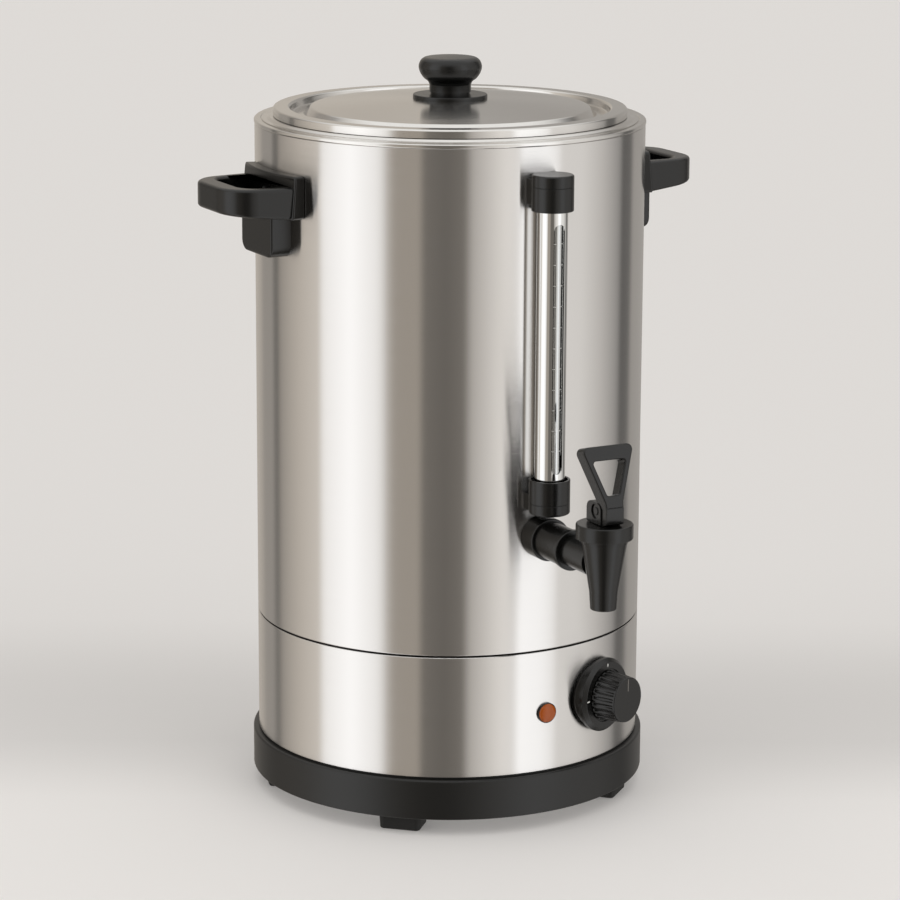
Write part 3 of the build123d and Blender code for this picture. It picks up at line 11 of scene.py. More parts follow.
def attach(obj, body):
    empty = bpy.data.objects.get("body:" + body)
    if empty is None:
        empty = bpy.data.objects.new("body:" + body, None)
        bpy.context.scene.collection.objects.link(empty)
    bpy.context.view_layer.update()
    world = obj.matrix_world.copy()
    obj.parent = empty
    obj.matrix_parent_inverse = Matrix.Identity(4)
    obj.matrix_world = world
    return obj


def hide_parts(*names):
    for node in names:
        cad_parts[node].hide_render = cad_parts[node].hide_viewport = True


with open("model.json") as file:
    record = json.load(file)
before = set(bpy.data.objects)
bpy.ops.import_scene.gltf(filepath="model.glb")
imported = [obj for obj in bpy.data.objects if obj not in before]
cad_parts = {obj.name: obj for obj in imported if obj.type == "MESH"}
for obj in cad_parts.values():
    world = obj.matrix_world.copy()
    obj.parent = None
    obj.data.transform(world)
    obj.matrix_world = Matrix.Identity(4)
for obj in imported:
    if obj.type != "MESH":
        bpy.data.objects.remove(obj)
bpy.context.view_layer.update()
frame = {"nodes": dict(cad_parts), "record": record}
print("stage: frame loaded")

# The urn's shapes are in millimetres. It stands on z = 0 and its tap faces -Y.
mm = 0.001
up = np.array([0.0, 0.0, 1.0])
alongX = np.array([1.0, 0.0, 0.0])
alongY = np.array([0.0, 1.0, 0.0])


def linear(code):
    # sRGB hex to the linear colour that a shader socket takes
    channels = [int(code[i:i + 2], 16) / 255 for i in (1, 3, 5)]
    return tuple(c / 12.92 if c <= 0.04045 else ((c + 0.055) / 1.055) ** 2.4 for c in channels) + (1.0,)


def addNode(tree, kind, links=None, **settings):
    # one node, with its settings, socket values and incoming links
    node = tree.nodes.new(kind)
    for key, value in settings.items():
        setattr(node, key, value)
    for socket, value in (links or {}).items():
        if isinstance(value, bpy.types.NodeSocket):
            tree.links.new(value, node.inputs[socket])
        else:
            node.inputs[socket].default_value = value
    return node


def outward(azimuth):
    # level unit vector away from the axis: 0 degrees is the front, 90 the side at +X
    a = math.radians(azimuth)
    return np.array([math.sin(a), -math.cos(a), 0.0])


def sideways(azimuth):
    # level unit vector along the wall, towards a larger azimuth
    a = math.radians(azimuth)
    return np.array([math.cos(a), math.sin(a), 0.0])


def rounded(corners, closed=True, step=12.0, hold=0.2):
    # Each corner (x, y, radius) becomes an arc tangent to both of its sides. A point just past
    # each end of the arc keeps the flat sides flat in shading.
    points = []
    count = len(corners)
    for i, corner in enumerate(corners):
        p = np.array(corner[:2], float)
        radius = corner[2] if len(corner) > 2 else 0.0
        if radius <= 0 or (not closed and i in (0, count - 1)):
            points.append(p)
            continue
        before = np.array(corners[i - 1][:2], float) - p
        after = np.array(corners[(i + 1) % count][:2], float) - p
        roomBefore, roomAfter = np.linalg.norm(before), np.linalg.norm(after)
        before, after = before / roomBefore, after / roomAfter
        bend = math.acos(max(-1.0, min(1.0, float(before @ after))))
        if bend > math.pi - 0.01:
            # the sides run straight on, so there is no arc to make
            points.append(p)
            continue
        run = radius / math.tan(bend / 2)
        middle = before + after
        centre = p + middle / np.linalg.norm(middle) * radius / math.sin(bend / 2)
        first, last = p + before * run - centre, p + after * run - centre
        a0 = math.atan2(first[1], first[0])
        sweep = (math.atan2(last[1], last[0]) - a0 + math.pi) % (2 * math.pi) - math.pi
        angles = a0 + sweep * np.linspace(0, 1, max(3, math.ceil(abs(math.degrees(sweep)) / step) + 1))
        points.append(p + before * (run + min(hold, 0.3 * max(roomBefore - run, 0))))
        points.extend(centre + radius * np.stack([np.cos(angles), np.sin(angles)], -1))
        points.append(p + after * (run + min(hold, 0.3 * max(roomAfter - run, 0))))
    return np.array(points)


def panel(half, low, high, lowCorner=0.0, highCorner=0.0):
    # corners of an upright rectangle about x = 0, anticlockwise from the lower left
    return [(-half, low, lowCorner), (half, low, lowCorner), (half, high, highCorner),
            (-half, high, highCorner)]


def smoothCurve(places, steps=6):
    # Catmull-Rom: each span is a cubic whose slopes come from the neighbouring places.
    q = np.array(places, float)
    q = np.concatenate([2 * q[:1] - q[1:2], q, 2 * q[-1:] - q[-2:-1]])
    t = np.linspace(0, 1, steps, endpoint=False)[:, None]
    spans = []
    for a, b, c, d in zip(q[:-3], q[1:-2], q[2:-1], q[3:]):
        spans.append(0.5 * (2 * b + (c - a) * t + (2 * a - 5 * b + 4 * c - d) * t ** 2
                            + (3 * b - a - 3 * c + d) * t ** 3))
    return np.concatenate(spans + [q[-2:-1]])


def gridFaces(rows, columns, closedRows, closedColumns):
    # quads between neighbouring points of a grid, joined round where a direction is closed
    index = np.arange(rows * columns).reshape(rows, columns)
    right = np.roll(index, -1, 1)
    above = np.roll(index, -1, 0)
    corner = np.roll(above, -1, 1)
    quads = np.stack([index, right, corner, above], -1)
    if not closedRows:
        quads = quads[:-1]
    if not closedColumns:
        quads = quads[:, :-1]
    return quads.reshape(-1, 4).tolist()


def turned(profile, origin, axis, start, turns):
    # A closed profile of (distance from an axis, place along it), carried round that axis:
    # point = origin + distance * (start * cos a + side * sin a) + place * axis.
    side = np.cross(axis, start)
    angle = np.linspace(0, 2 * math.pi, turns, endpoint=False)
    ring = np.cos(angle)[:, None] * start + np.sin(angle)[:, None] * side
    points = (np.array(origin, float) + profile[:, None, 0, None] * ring[None]
              + profile[:, None, 1, None] * axis)
    return points.reshape(-1, 3), gridFaces(len(profile), turns, True, True)


def lathed(corners, place, turns):
    # rounded corners of (distance, place along the axis, radius) turned about a place, which is
    # (origin, axis, start)
    return turned(rounded(corners), *place, turns)


def slab(loops, depth, edge, arcSteps=4, hold=0.25):
    # A plate between outlines that keep the material on their left. Its rim follows a quarter
    # circle at each face: inset = edge * (1 - sin t), height = edge * (1 - cos t).
    t = np.linspace(0, math.pi / 2, arcSteps + 1)
    inset = edge * (1 - np.sin(t))
    height = edge * (1 - np.cos(t))
    spare = min(hold, 0.2 * max(depth - 2 * edge, 0.01))
    low = [(edge + hold, 0.0), *zip(inset, height), (0.0, edge + spare)]
    rows = low + [(i, depth - h) for i, h in reversed(low)]
    points, faces, bottom, top, base = [], [], [], [], 0
    for loop in loops:
        ahead = np.roll(loop, -1, 0) - loop
        behind = loop - np.roll(loop, 1, 0)
        ahead /= np.linalg.norm(ahead, axis=1)[:, None]
        behind /= np.linalg.norm(behind, axis=1)[:, None]
        along = ahead + behind
        along /= np.linalg.norm(along, axis=1)[:, None]
        normal = np.stack([along[:, 1], -along[:, 0]], -1)
        reach = 1 / np.clip((along * ahead).sum(1), 0.5, 1)
        for amount, level in rows:
            ring = loop - normal * (reach * amount)[:, None]
            points.append(np.column_stack([ring, np.full(len(loop), level)]))
        count = len(loop)
        faces += [[a + base for a in f] for f in gridFaces(len(rows), count, False, True)]
        bottom.append(list(range(base, base + count)))
        top.append(list(range(base + (len(rows) - 1) * count, base + len(rows) * count)))
        base += len(rows) * count
    points = np.concatenate(points)
    for rings in (bottom, top):
        flat = [i for ring in rings for i in ring]
        for triangle in tessellate_polygon([[Vector(points[i]) for i in ring] for ring in rings]):
            faces.append([flat[i] for i in triangle])
    return points, faces


def placed(part, origin, xDir, yDir):
    # local x, y and thickness carried to three directions from an origin
    points, faces = part
    zDir = np.cross(xDir, yDir)
    return (np.array(origin, float) + points[:, :1] * xDir + points[:, 1:2] * yDir
            + points[:, 2:] * zDir), faces


def wrapped(part, azimuth, radius):
    # x runs along the wall as an arc, y up, and the thickness stands out from a radius
    points, faces = part
    angle = math.radians(azimuth) + points[:, 0] / radius
    out = radius + points[:, 2]
    return np.stack([out * np.sin(angle), -out * np.cos(angle), points[:, 1]], -1), faces


def piece(name, parts, body, material, nodes=(), sharp=38):
    # One object from several closed surfaces, in metres, its normals made to point outwards.
    mesh = bpy.data.meshes.new(name)
    points = np.concatenate([p for p, f in parts]) * mm
    faces, base = [], 0
    for p, f in parts:
        faces += [[a + base for a in face] for face in f]
        base += len(p)
    mesh.from_pydata(points.tolist(), [], faces)
    work = bmesh.new()
    work.from_mesh(mesh)
    bmesh.ops.remove_doubles(work, verts=work.verts, dist=2e-6)
    bmesh.ops.dissolve_degenerate(work, edges=work.edges, dist=1e-7)
    bmesh.ops.recalc_face_normals(work, faces=work.faces)
    work.to_mesh(mesh)
    work.free()
    mesh.shade_smooth()
    mesh.set_sharp_from_angle(angle=math.radians(sharp))
    mesh.materials.append(material)
    obj = bpy.data.objects.new(name, mesh)
    bpy.context.scene.collection.objects.link(obj)
    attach(obj, body)
    if nodes:
        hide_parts(*nodes)
    return obj


# Materials

# real brushing is some 0.05 mm fine, so its lines are drawn coarser here, to show at all
steelLook = {"colour": "#DBD9D7", "roughness": 0.2, "spread": 0.03, "stretch": 1.0,
             "bodyRadius": 140, "lineHeight": 0.8, "lineLength": 90.0, "lineDepth": 0.02,
             "relief": 0.4}
mouldedRelief = 0.2


def brushedSteel(name, colour, roughness, stretch, flat=False):
    # Stainless sheet brushed round the body: fine level lines that spread reflections upright.
    look = steelLook
    material = bpy.data.materials.new(name)
    material.use_nodes = True
    tree = material.node_tree
    shader = tree.nodes["Principled BSDF"]
    shader.inputs["Base Color"].default_value = linear(colour)
    shader.inputs["Metallic"].default_value = 1.0
    shader.inputs["Roughness"].default_value = roughness
    shader.inputs["Anisotropic"].default_value = stretch
    shader.inputs["Anisotropic Rotation"].default_value = 0.25  # spreads reflections across the lines
    tangent = addNode(tree, "ShaderNodeTangent", direction_type="RADIAL", axis="Z")
    tree.links.new(tangent.outputs[0], shader.inputs["Tangent"])
    place = addNode(tree, "ShaderNodeTexCoord")
    split = addNode(tree, "ShaderNodeSeparateXYZ", {0: place.outputs["Object"]})
    angle = addNode(tree, "ShaderNodeMath", {0: split.outputs["Y"], 1: split.outputs["X"]},
                    operation="ARCTAN2")
    level = addNode(tree, "ShaderNodeVectorMath", {0: place.outputs["Object"], 1: (1, 1, 0)},
                    operation="MULTIPLY")
    reach = addNode(tree, "ShaderNodeVectorMath", {0: level.outputs[0]}, operation="LENGTH")
    # lines on a wall repeat with height, and on a flat lid with the distance from the axis
    across = reach.outputs["Value"] if flat else split.outputs["Z"]
    around = addNode(tree, "ShaderNodeMath", {0: angle.outputs[0],
                                              1: look["bodyRadius"] / look["lineLength"]},
                     operation="MULTIPLY")
    lines = addNode(tree, "ShaderNodeMath", {0: across, 1: 1 / (look["lineHeight"] * mm)},
                    operation="MULTIPLY")
    pattern = addNode(tree, "ShaderNodeCombineXYZ", {0: around.outputs[0], 1: lines.outputs[0]})
    noise = addNode(tree, "ShaderNodeTexNoise", {"Vector": pattern.outputs[0], "Scale": 1.0,
                                                 "Detail": 4.0, "Roughness": 0.7})
    tone = addNode(tree, "ShaderNodeMapRange", {0: noise.outputs[0], 1: 0.25, 2: 0.75,
                                                3: roughness - look["spread"],
                                                4: roughness + look["spread"]})
    tree.links.new(tone.outputs[0], shader.inputs["Roughness"])
    bump = addNode(tree, "ShaderNodeBump", {"Strength": look["lineDepth"],
                                            "Distance": look["relief"] * mm,
                                            "Height": noise.outputs[0]})
    tree.links.new(bump.outputs[0], shader.inputs["Normal"])
    return material


def plain(name, colour, roughness, metallic=0.0, grain=0.0, grainSize=0.6, **sockets):
    # One colour with a fine moulded grain, whose size is in millimetres.
    material = bpy.data.materials.new(name)
    material.use_nodes = True
    tree = material.node_tree
    shader = tree.nodes["Principled BSDF"]
    shader.inputs["Base Color"].default_value = linear(colour)
    shader.inputs["Roughness"].default_value = roughness
    shader.inputs["Metallic"].default_value = metallic
    for socket, value in sockets.items():
        shader.inputs[socket.replace("_", " ")].default_value = value
    if grain:
        place = addNode(tree, "ShaderNodeTexCoord")
        noise = addNode(tree, "ShaderNodeTexNoise", {"Vector": place.outputs["Object"],
                                                     "Scale": 1 / (grainSize * mm), "Detail": 2.0})
        bump = addNode(tree, "ShaderNodeBump", {"Strength": grain, "Distance": mouldedRelief * mm,
                                                "Height": noise.outputs[0]})
        tree.links.new(bump.outputs[0], shader.inputs["Normal"])
    return material


# rolled sheet, brushed round and round: a satin face that draws each reflection out upright
bodySteel = brushedSteel("brushedStainlessSheet", steelLook["colour"], steelLook["roughness"],
                         steelLook["stretch"])
# a pressing that was polished after it was drawn: a little smoother than the body
lidSteel = brushedSteel("satinStainlessPressing", "#DEDCD9", 0.17, 0.8, flat=True)
# the joint's shadow gap: the same sheet, dull, and coloured dark as painted shade for the narrow gap
seamSteelPaintedShade = plain("jointSteelPaintedShade", "#1B1A19", 0.5, metallic=1.0)
# phenolic moulding: near black, half matt, with a soft sheen on its edges
blackPlastic = plain("blackPhenolicMoulding", "#0D0D0C", 0.26, grain=0.05, grainSize=0.5,
                     Specular_IOR_Level=0.5)
# polypropylene moulding: a shade greyer and duller than the phenolic
plinthPlastic = plain("blackPolypropyleneMoulding", "#121211", 0.38, grain=0.1, grainSize=0.7,
                      Specular_IOR_Level=0.5)
# moulded rubber feet: black, matt and dry
footRubber = plain("blackRubber", "#171716", 0.7, grain=0.1)
# moulded silicone seals: milky and smooth
paleRubber = plain("siliconeRubber", "#D8D6CE", 0.5)
# zinc plate on screws and nuts: bluish grey with a blurred shine
zincSteel = plain("zincPlatedSteel", "#B9BBBD", 0.35, metallic=1.0)
# turned stainless rod: bright, softened by its tool marks
turnedSteel = plain("turnedStainlessRod", "#BDBBB8", 0.3, metallic=1.0)
# milled aluminium: pale and satin
aluminium = plain("milledAluminium", "#C5C8CB", 0.4, metallic=1.0)
# drawn brass: yellow with a satin shine
brass = plain("drawnBrass", "#CBA05A", 0.35, metallic=1.0)
# polished chrome plate on a tube: a mirror that is only a little blurred
chrome = plain("polishedChromeTube", "#E4E4E3", 0.06, metallic=1.0)
# a gauge glass is silvered behind the water, so that its level shows
silveredGlass = plain("silveredGaugeGlass", "#D2D4D4", 0.08, metallic=0.9)
# moulded polycarbonate lens, unlit: deep orange and glossy
amber = plain("amberPolycarbonateLens", "#A64F12", 0.1, Specular_IOR_Level=0.4)
# urea moulding of the terminal block: cream and half matt
paleMoulding = plain("paleUreaMoulding", "#D5CFBE", 0.5)
# screen-printed ink: flat white, and a grey that hands have rubbed
whitePrint = plain("whitePrint", "#E8E8E4", 0.6)
greyPrint = plain("rubbedGreyPrint", "#6E6A66", 0.6)
slots = {"brushed_steel": bodySteel, "polished_steel": lidSteel, "black_plastic": blackPlastic,
         "foot_rubber": footRubber, "silicone": paleRubber, "zinc_steel": zincSteel,
         "stainless_rod": turnedSteel, "aluminium_plate": aluminium, "copper_alloy": brass,
         "chrome_tube": chrome, "gauge_glass": silveredGlass, "amber_lens": amber,
         "pale_moulding": paleMoulding}
for part in frame["record"]["subparts"]:
    for holder in frame["nodes"][part["node"]].material_slots:
        holder.material = slots[part["material_slot"]]
print("stage: materials")


# Body: plinth, lower band, seam, shell, rim and tank, all turned about the upright axis

front = outward(0)
middle = ((0, 0, 0), up, front)

# the plinth's ledge carries the band, whose foot fits round its spigot
plinthShape = {"radius": 144, "inside": 141, "bottom": 12, "top": 41, "edge": 1.8,
               "ledge": 139.4, "ledgeTop": 42.2, "spigot": 138.8, "spigotInside": 136.3,
               "spigotTop": 50.2, "spigotEdge": 0.4, "floorInside": 120, "floorThickness": 3}
p = plinthShape
floorUnder = p["top"] - p["floorThickness"]
piece("plinthMoulding", [lathed([
    (p["inside"], p["bottom"], 0.6), (p["radius"], p["bottom"], 0.8),
    (p["radius"], p["top"], p["edge"]), (p["ledge"], p["top"]), (p["ledge"], p["ledgeTop"]),
    (p["spigot"], p["ledgeTop"]), (p["spigot"], p["spigotTop"], p["spigotEdge"]),
    (p["spigotInside"], p["spigotTop"], p["spigotEdge"]), (p["spigotInside"], p["top"]),
    (p["floorInside"], p["top"]), (p["floorInside"], floorUnder), (p["inside"], floorUnder)],
    middle, 256)], "urn", plinthPlastic, ["base_plinth"])

# both sheets are rolled over at the seam, by the lip's radius
shellShape = {"radius": 140, "inside": 139, "bandBottom": 42.2, "bandTop": 130.4,
              "shellBottom": 131.6, "shellTop": 489.5, "edge": 0.4, "lip": 0.85}
p = shellShape
for name, low, high, lowEdge, highEdge, node in (
        ("lowerBandSheet", p["bandBottom"], p["bandTop"], p["edge"], p["lip"], "base_band"),
        ("upperShellSheet", p["shellBottom"], p["shellTop"], p["lip"], p["edge"], "body_shell")):
    piece(name, [lathed([(p["inside"], low, 0.1), (p["radius"], low, lowEdge),
                         (p["radius"], high, highEdge), (p["inside"], high, 0.1)], middle, 256)],
          "urn", bodySteel, [node])

# a sleeve that laps both sheets from inside, with a rib that fills their joint
seamShape = {"rib": 139.2, "outside": 138.9, "inside": 137.4, "lap": 10}
p = seamShape
ribLow, ribHigh = shellShape["bandTop"], shellShape["shellBottom"]
# the rib's dark colour is painted shade, the shade inside the narrow joint
piece("seamRib", [lathed([
    (p["inside"], ribLow - p["lap"]), (p["outside"], ribLow - p["lap"]), (p["outside"], ribLow),
    (p["rib"], ribLow), (p["rib"], ribHigh), (p["outside"], ribHigh),
    (p["outside"], ribHigh + p["lap"]), (p["inside"], ribHigh + p["lap"])], middle, 256)],
    "urn", seamSteelPaintedShade, ["seam_ring"])

rimShape = {"radius": 140.4, "bottom": 489.5, "top": 492.5, "edge": 1.0, "beadInside": 135.5,
            "seat": 492.0, "seatUnder": 490.5, "seatInside": 131.0, "sleeve": 138.9,
            "sleeveInside": 137.4, "sleeveLow": 479.5}
p = rimShape
piece("rimBead", [lathed([
    (p["radius"], p["bottom"], p["edge"]), (p["radius"], p["top"], p["edge"]),
    (p["beadInside"], p["top"], 0.6), (p["beadInside"], p["seat"]), (p["seatInside"], p["seat"]),
    (p["seatInside"], p["seatUnder"]), (p["sleeveInside"], p["seatUnder"]),
    (p["sleeveInside"], p["sleeveLow"]), (p["sleeve"], p["sleeveLow"]), (p["sleeve"], p["bottom"])],
    middle, 256)], "urn", lidSteel, ["rim_ring"])

tankShape = {"wall": 1.0, "radius": 122, "floor": 151, "floorCorner": 12, "neck": 2.5,
             "deck": 494.4, "deckRadius": 129.5, "flange": 493.0, "flangeStart": 131.5,
             "flangeRadius": 135.0}
p = tankShape


def tankLine(p, grow):
    # the tank's section from its flange to the middle of its floor, some millimetres off the water
    return rounded([
        (p["flangeRadius"], p["flange"] - grow), (p["flangeStart"], p["flange"] - grow, 1),
        (p["deckRadius"], p["deck"] - grow, 1), (p["radius"] + grow, p["deck"] - grow, p["neck"] - grow),
        (p["radius"] + grow, p["floor"] - grow, p["floorCorner"] + grow), (0, p["floor"] - grow)],
        closed=False)


tankSection = np.concatenate([tankLine(p, 0), tankLine(p, p["wall"])[::-1]])
piece("innerTankPressing", [turned(tankSection, *middle, 192)],
      "urn", lidSteel, ["inner_tank", "tank_floor"])
print("stage: body")


# Lid: one pressed sheet with a rolled edge, a channel and a crowned panel

lidShape = {"wall": 1.0, "thinnest": 0.6, "radius": 126.8, "bottom": 494.7, "top": 500.6,
            "edge": 1.8, "channel": 495.0, "brink": 114.8, "brinkBend": 2.0, "channelOut": 113.5,
            "channelIn": 104.5, "widen": 0.8, "shoulder": 100.0, "shoulderWiden": 0.7,
            "bow": 62.0, "bowRise": 4.3, "bowBend": 600, "crownRadius": 28.0, "crown": 506.3,
            "crownBend": 30}
p = lidShape


def lidLine(p, back):
    # The lid's section from its edge to its middle, its face where back is 0. Where back is 1 it
    # is the underside, a wall lower, with a channel that is wider by the slope of its sides.
    grow, widen = p["wall"] * back, p["widen"] * back
    floor = p["channel"] - 0.001 * back
    return rounded([
        (p["radius"] - grow, p["bottom"]), (p["radius"] - grow, p["top"] - grow, p["edge"] - grow),
        (p["brink"] + widen, p["top"] - grow, p["brinkBend"] - grow),
        (p["channelOut"] + widen, floor, 1.2), (p["channelIn"] - widen, floor, 1.5),
        (p["shoulder"] - p["shoulderWiden"] * back, p["top"] - grow, 2.5),
        (p["bow"], p["top"] + p["bowRise"] - grow, p["bowBend"]),
        (p["crownRadius"], p["crown"] - grow, p["crownBend"]), (0, p["crown"] - grow)],
        closed=False, step=6)


lidFace, lidBack = lidLine(p, 0), lidLine(p, 1)
# the underside keeps below the face everywhere, and clear of the tank's deck
faceAbove = np.interp(-lidBack[:, 0], -lidFace[:, 0], lidFace[:, 1])
lidBack[:, 1] = np.minimum(lidBack[:, 1], faceAbove - p["thinnest"])
lidBack[:, 1] = np.maximum(lidBack[:, 1], p["bottom"] - 0.2)
piece("lidPressing", [turned(np.concatenate([lidFace, lidBack[::-1]]), *middle, 256)],
      "lid", lidSteel, ["lid_shell"])

# the knob's outline follows a smooth curve through its places, up to a slightly domed face
knobShape = {"plateRadius": 26.7, "plateEdge": 0.85, "foot": 509.3, "footRadius": 14.0,
             "neckRadius": 14.9, "top": 536.0, "faceRadius": 17.4, "faceDrop": 0.45,
             "places": [(14.9, 516.2), (16.2, 518.6), (19.1, 520.9), (21.7, 524.8),
                        (22.65, 529.2), (21.4, 532.9), (19.3, 534.9), (17.4, 535.55)]}
p = knobShape
piece("lidKnobPlate", [lathed([
    (0, lidShape["crown"]), (p["plateRadius"], lidShape["crown"]),
    (p["plateRadius"], p["foot"], p["plateEdge"]), (0, p["foot"])], middle, 128)],
    "lid", blackPlastic, ["lid_knob_plate"])

foot = np.array([(0, p["foot"]), (p["footRadius"], p["foot"]), (p["footRadius"], p["foot"] + 1.5),
                 (p["neckRadius"], p["foot"] + 1.7), (p["neckRadius"], p["foot"] + 2.0)])
dome = np.linspace(p["faceRadius"], 0, 12)
face = np.stack([dome, p["top"] - p["faceDrop"] * (dome / p["faceRadius"]) ** 2], -1)
piece("lidKnob", [turned(np.concatenate([foot, smoothCurve(p["places"]), face[1:]]), *middle, 128)],
      "lid", blackPlastic, ["lid_knob"])
print("stage: lid")


# Side handles: a loop that thins outwards, a plate that follows the wall, and a tongue

handleShape = {"top": 456.3, "thickness": 23.0, "rise": 5.5, "riseFrom": 140, "inner": 139.5,
               "outer": 189, "outerCorner": 24, "arm": 41, "bar": 35, "gapInner": 138,
               "gapOuter": 173.8, "gapHalf": 29.5, "gapCorner": 13, "edge": 3.0}
plateShape = {"wall": 140.1, "half": 41, "bottom": 433.7, "top": 464.0, "corner": 3,
              "depth": 10.9, "topDepth": 7.9, "edge": 1.2, "longest": 6}
tongueShape = {"start": 136.0, "half": 25, "bottom": 404.7, "top": 445, "depth": 17.0,
               "bottomCorner": 8, "topCorner": 2, "edge": 1.5}


def handleGrip(p, side):
    # The underside rises outwards: depth below the top = thickness - rise slope * distance out.
    loop = rounded([(p["inner"], -p["arm"], 1), (p["outer"], -p["bar"], p["outerCorner"]),
                    (p["outer"], p["bar"], p["outerCorner"]), (p["inner"], p["arm"], 1)], step=7)
    gap = rounded([(p["gapInner"], -p["gapHalf"]), (p["gapInner"], p["gapHalf"]),
                   (p["gapOuter"], p["gapHalf"], p["gapCorner"]),
                   (p["gapOuter"], -p["gapHalf"], p["gapCorner"])], step=8)
    points, faces = slab([loop, gap], p["thickness"], p["edge"], arcSteps=6)
    depth = p["thickness"] - points[:, 2]
    slope = math.tan(math.radians(p["rise"]))
    share = 1 - (points[:, 0] - p["riseFrom"]) * slope / p["thickness"]
    return np.stack([side * points[:, 0], points[:, 1], p["top"] - depth * share], -1), faces


def handlePlate(p, azimuth):
    # Its long sides get more points, so that they bend round the wall. It thins upwards:
    # thickness = depth - (depth - top depth) * share of the height.
    outline = rounded(panel(p["half"], p["bottom"], p["top"], p["corner"], p["corner"]), step=15)
    fine = []
    for a, b in zip(outline, np.roll(outline, -1, 0)):
        steps = max(1, int(np.linalg.norm(b - a) / p["longest"]))
        fine.append(a + (b - a) * np.linspace(0, 1, steps, endpoint=False)[:, None])
    points, faces = slab([np.concatenate(fine)], p["depth"], p["edge"])
    climb = (points[:, 1] - p["bottom"]) / (p["top"] - p["bottom"])
    points[:, 2] *= 1 - (1 - p["topDepth"] / p["depth"]) * climb
    return wrapped((points, faces), azimuth, p["wall"])


def handleTongue(p, azimuth):
    # a block that hangs below the plate, against the wall
    outline = panel(p["half"], p["bottom"], p["top"], p["bottomCorner"], p["topCorner"])
    return placed(slab([rounded(outline, step=10)], p["depth"], p["edge"]),
                  outward(azimuth) * p["start"], sideways(azimuth), up)


for side, name, node in ((1, "handleRight", "handle_right"), (-1, "handleLeft", "handle_left")):
    piece(name, [handleGrip(handleShape, side), handlePlate(plateShape, 90 * side),
                 handleTongue(tongueShape, 90 * side)],
          "urn", blackPlastic, [node])
print("stage: handles")


# Sight gauge: slotted chrome tube in front of the wall, with the glass inside it

gaugeShape = {"reach": 152, "radius": 10.65, "inside": 9.85, "bottom": 249, "top": 457,
              "slotLow": 264, "slotHigh": 438.6, "slotWidth": 8.5, "glass": 5.5, "glassInside": 4.3}
p = gaugeShape
gaugeAt = outward(0) * p["reach"]
gaugeAxis = (gaugeAt, up, front)


def slottedTube(p, rings=72):
    # Columns of one angle each. In the slot they end where its round ends cross them:
    # drop = sqrt(slot radius^2 - sideways distance^2).
    slotRadius = p["slotWidth"] / 2
    half = math.asin(slotRadius / p["radius"])
    inSlot = half * np.sin(np.linspace(-math.pi / 2, math.pi / 2, 17))
    around = np.linspace(half, 2 * math.pi - half, rings)
    drop = np.sqrt(np.clip(slotRadius ** 2 - (p["radius"] * np.sin(inSlot)) ** 2, 0, None))

    def strip(angles, low, high):
        # both walls of the tube over a run of angles, between two heights
        levels = np.stack([low + 0 * angles, high + 0 * angles], -1)
        walls = []
        for radius, order in ((p["radius"], slice(None)), (p["inside"], slice(None, None, -1))):
            x = (radius * np.sin(angles))[:, None] * np.ones_like(levels)
            y = (-radius * np.cos(angles))[:, None] * np.ones_like(levels)
            walls.append(np.stack([x, y, levels], -1)[:, order])
        grid = np.concatenate(walls, 1)
        return grid.reshape(-1, 3) + gaugeAt, gridFaces(len(angles), grid.shape[1], False, True)

    return [strip(around, p["bottom"], p["top"]),
            strip(inSlot, p["bottom"], p["slotLow"] + slotRadius - drop),
            strip(inSlot, p["slotHigh"] - slotRadius + drop, p["top"])]


piece("gaugeTube", slottedTube(p), "urn", chrome, ["gauge_tube_shield"])
piece("gaugeGlassTube", [lathed([
    (p["glassInside"], p["bottom"]), (p["glass"], p["bottom"]), (p["glass"], p["top"]),
    (p["glassInside"], p["top"])], gaugeAxis, 64)],
    "urn", silveredGlass, ["gauge_glass"])

capShape = {"radius": 14.6, "bore": 10.7, "bottom": 447, "groove": 463.7, "top": 472,
            "saddleLow": 450.5, "saddleHigh": 468.5}
collarShape = {"radius": 14.5, "bore": 10.7, "bottom": 234.5, "groove": 242.3, "cup": 12.7,
               "cupFloor": 255, "top": 259, "saddleLow": 236.0, "saddleHigh": 248.0}
saddleShape = {"start": 139.4, "depth": 12.0, "half": 13.4, "corner": 1.0, "edge": 0.4}


def groove(radius, level):
    # a fine parting line round a moulding
    return [(radius, level - 0.3, 0.2), (radius - 0.4, level, 0.15), (radius, level + 0.3, 0.2)]


def saddleBlock(low, high):
    # block between the wall and the gauge, its rear left inside the wall's thickness
    s = saddleShape
    outline = rounded(panel(s["half"], low, high, s["corner"], s["corner"]))
    return placed(slab([outline], s["depth"], s["edge"]), outward(0) * s["start"], sideways(0), up)


p = capShape
cap = lathed([
    (0, gaugeShape["top"]), (p["bore"], gaugeShape["top"]), (p["bore"], p["bottom"]),
    (p["radius"], p["bottom"], 0.5), *groove(p["radius"], p["groove"]),
    (p["radius"], p["top"], 1.5), (0, p["top"])], gaugeAxis, 96)
piece("gaugeCap", [cap, saddleBlock(p["saddleLow"], p["saddleHigh"])],
      "urn", blackPlastic, ["gauge_top_cap"])
p = collarShape
collar = lathed([
    (0, p["bottom"]), (p["radius"], p["bottom"], 1.5), *groove(p["radius"], p["groove"]),
    (p["radius"], p["top"], 0.5), (p["cup"], p["top"], 0.5), (p["cup"], p["cupFloor"]),
    (p["bore"], p["cupFloor"]), (p["bore"], gaugeShape["bottom"]), (0, gaugeShape["bottom"])],
    gaugeAxis, 96)
piece("gaugeCollar", [collar, saddleBlock(p["saddleLow"], p["saddleHigh"])],
      "urn", blackPlastic, ["gauge_collar"])

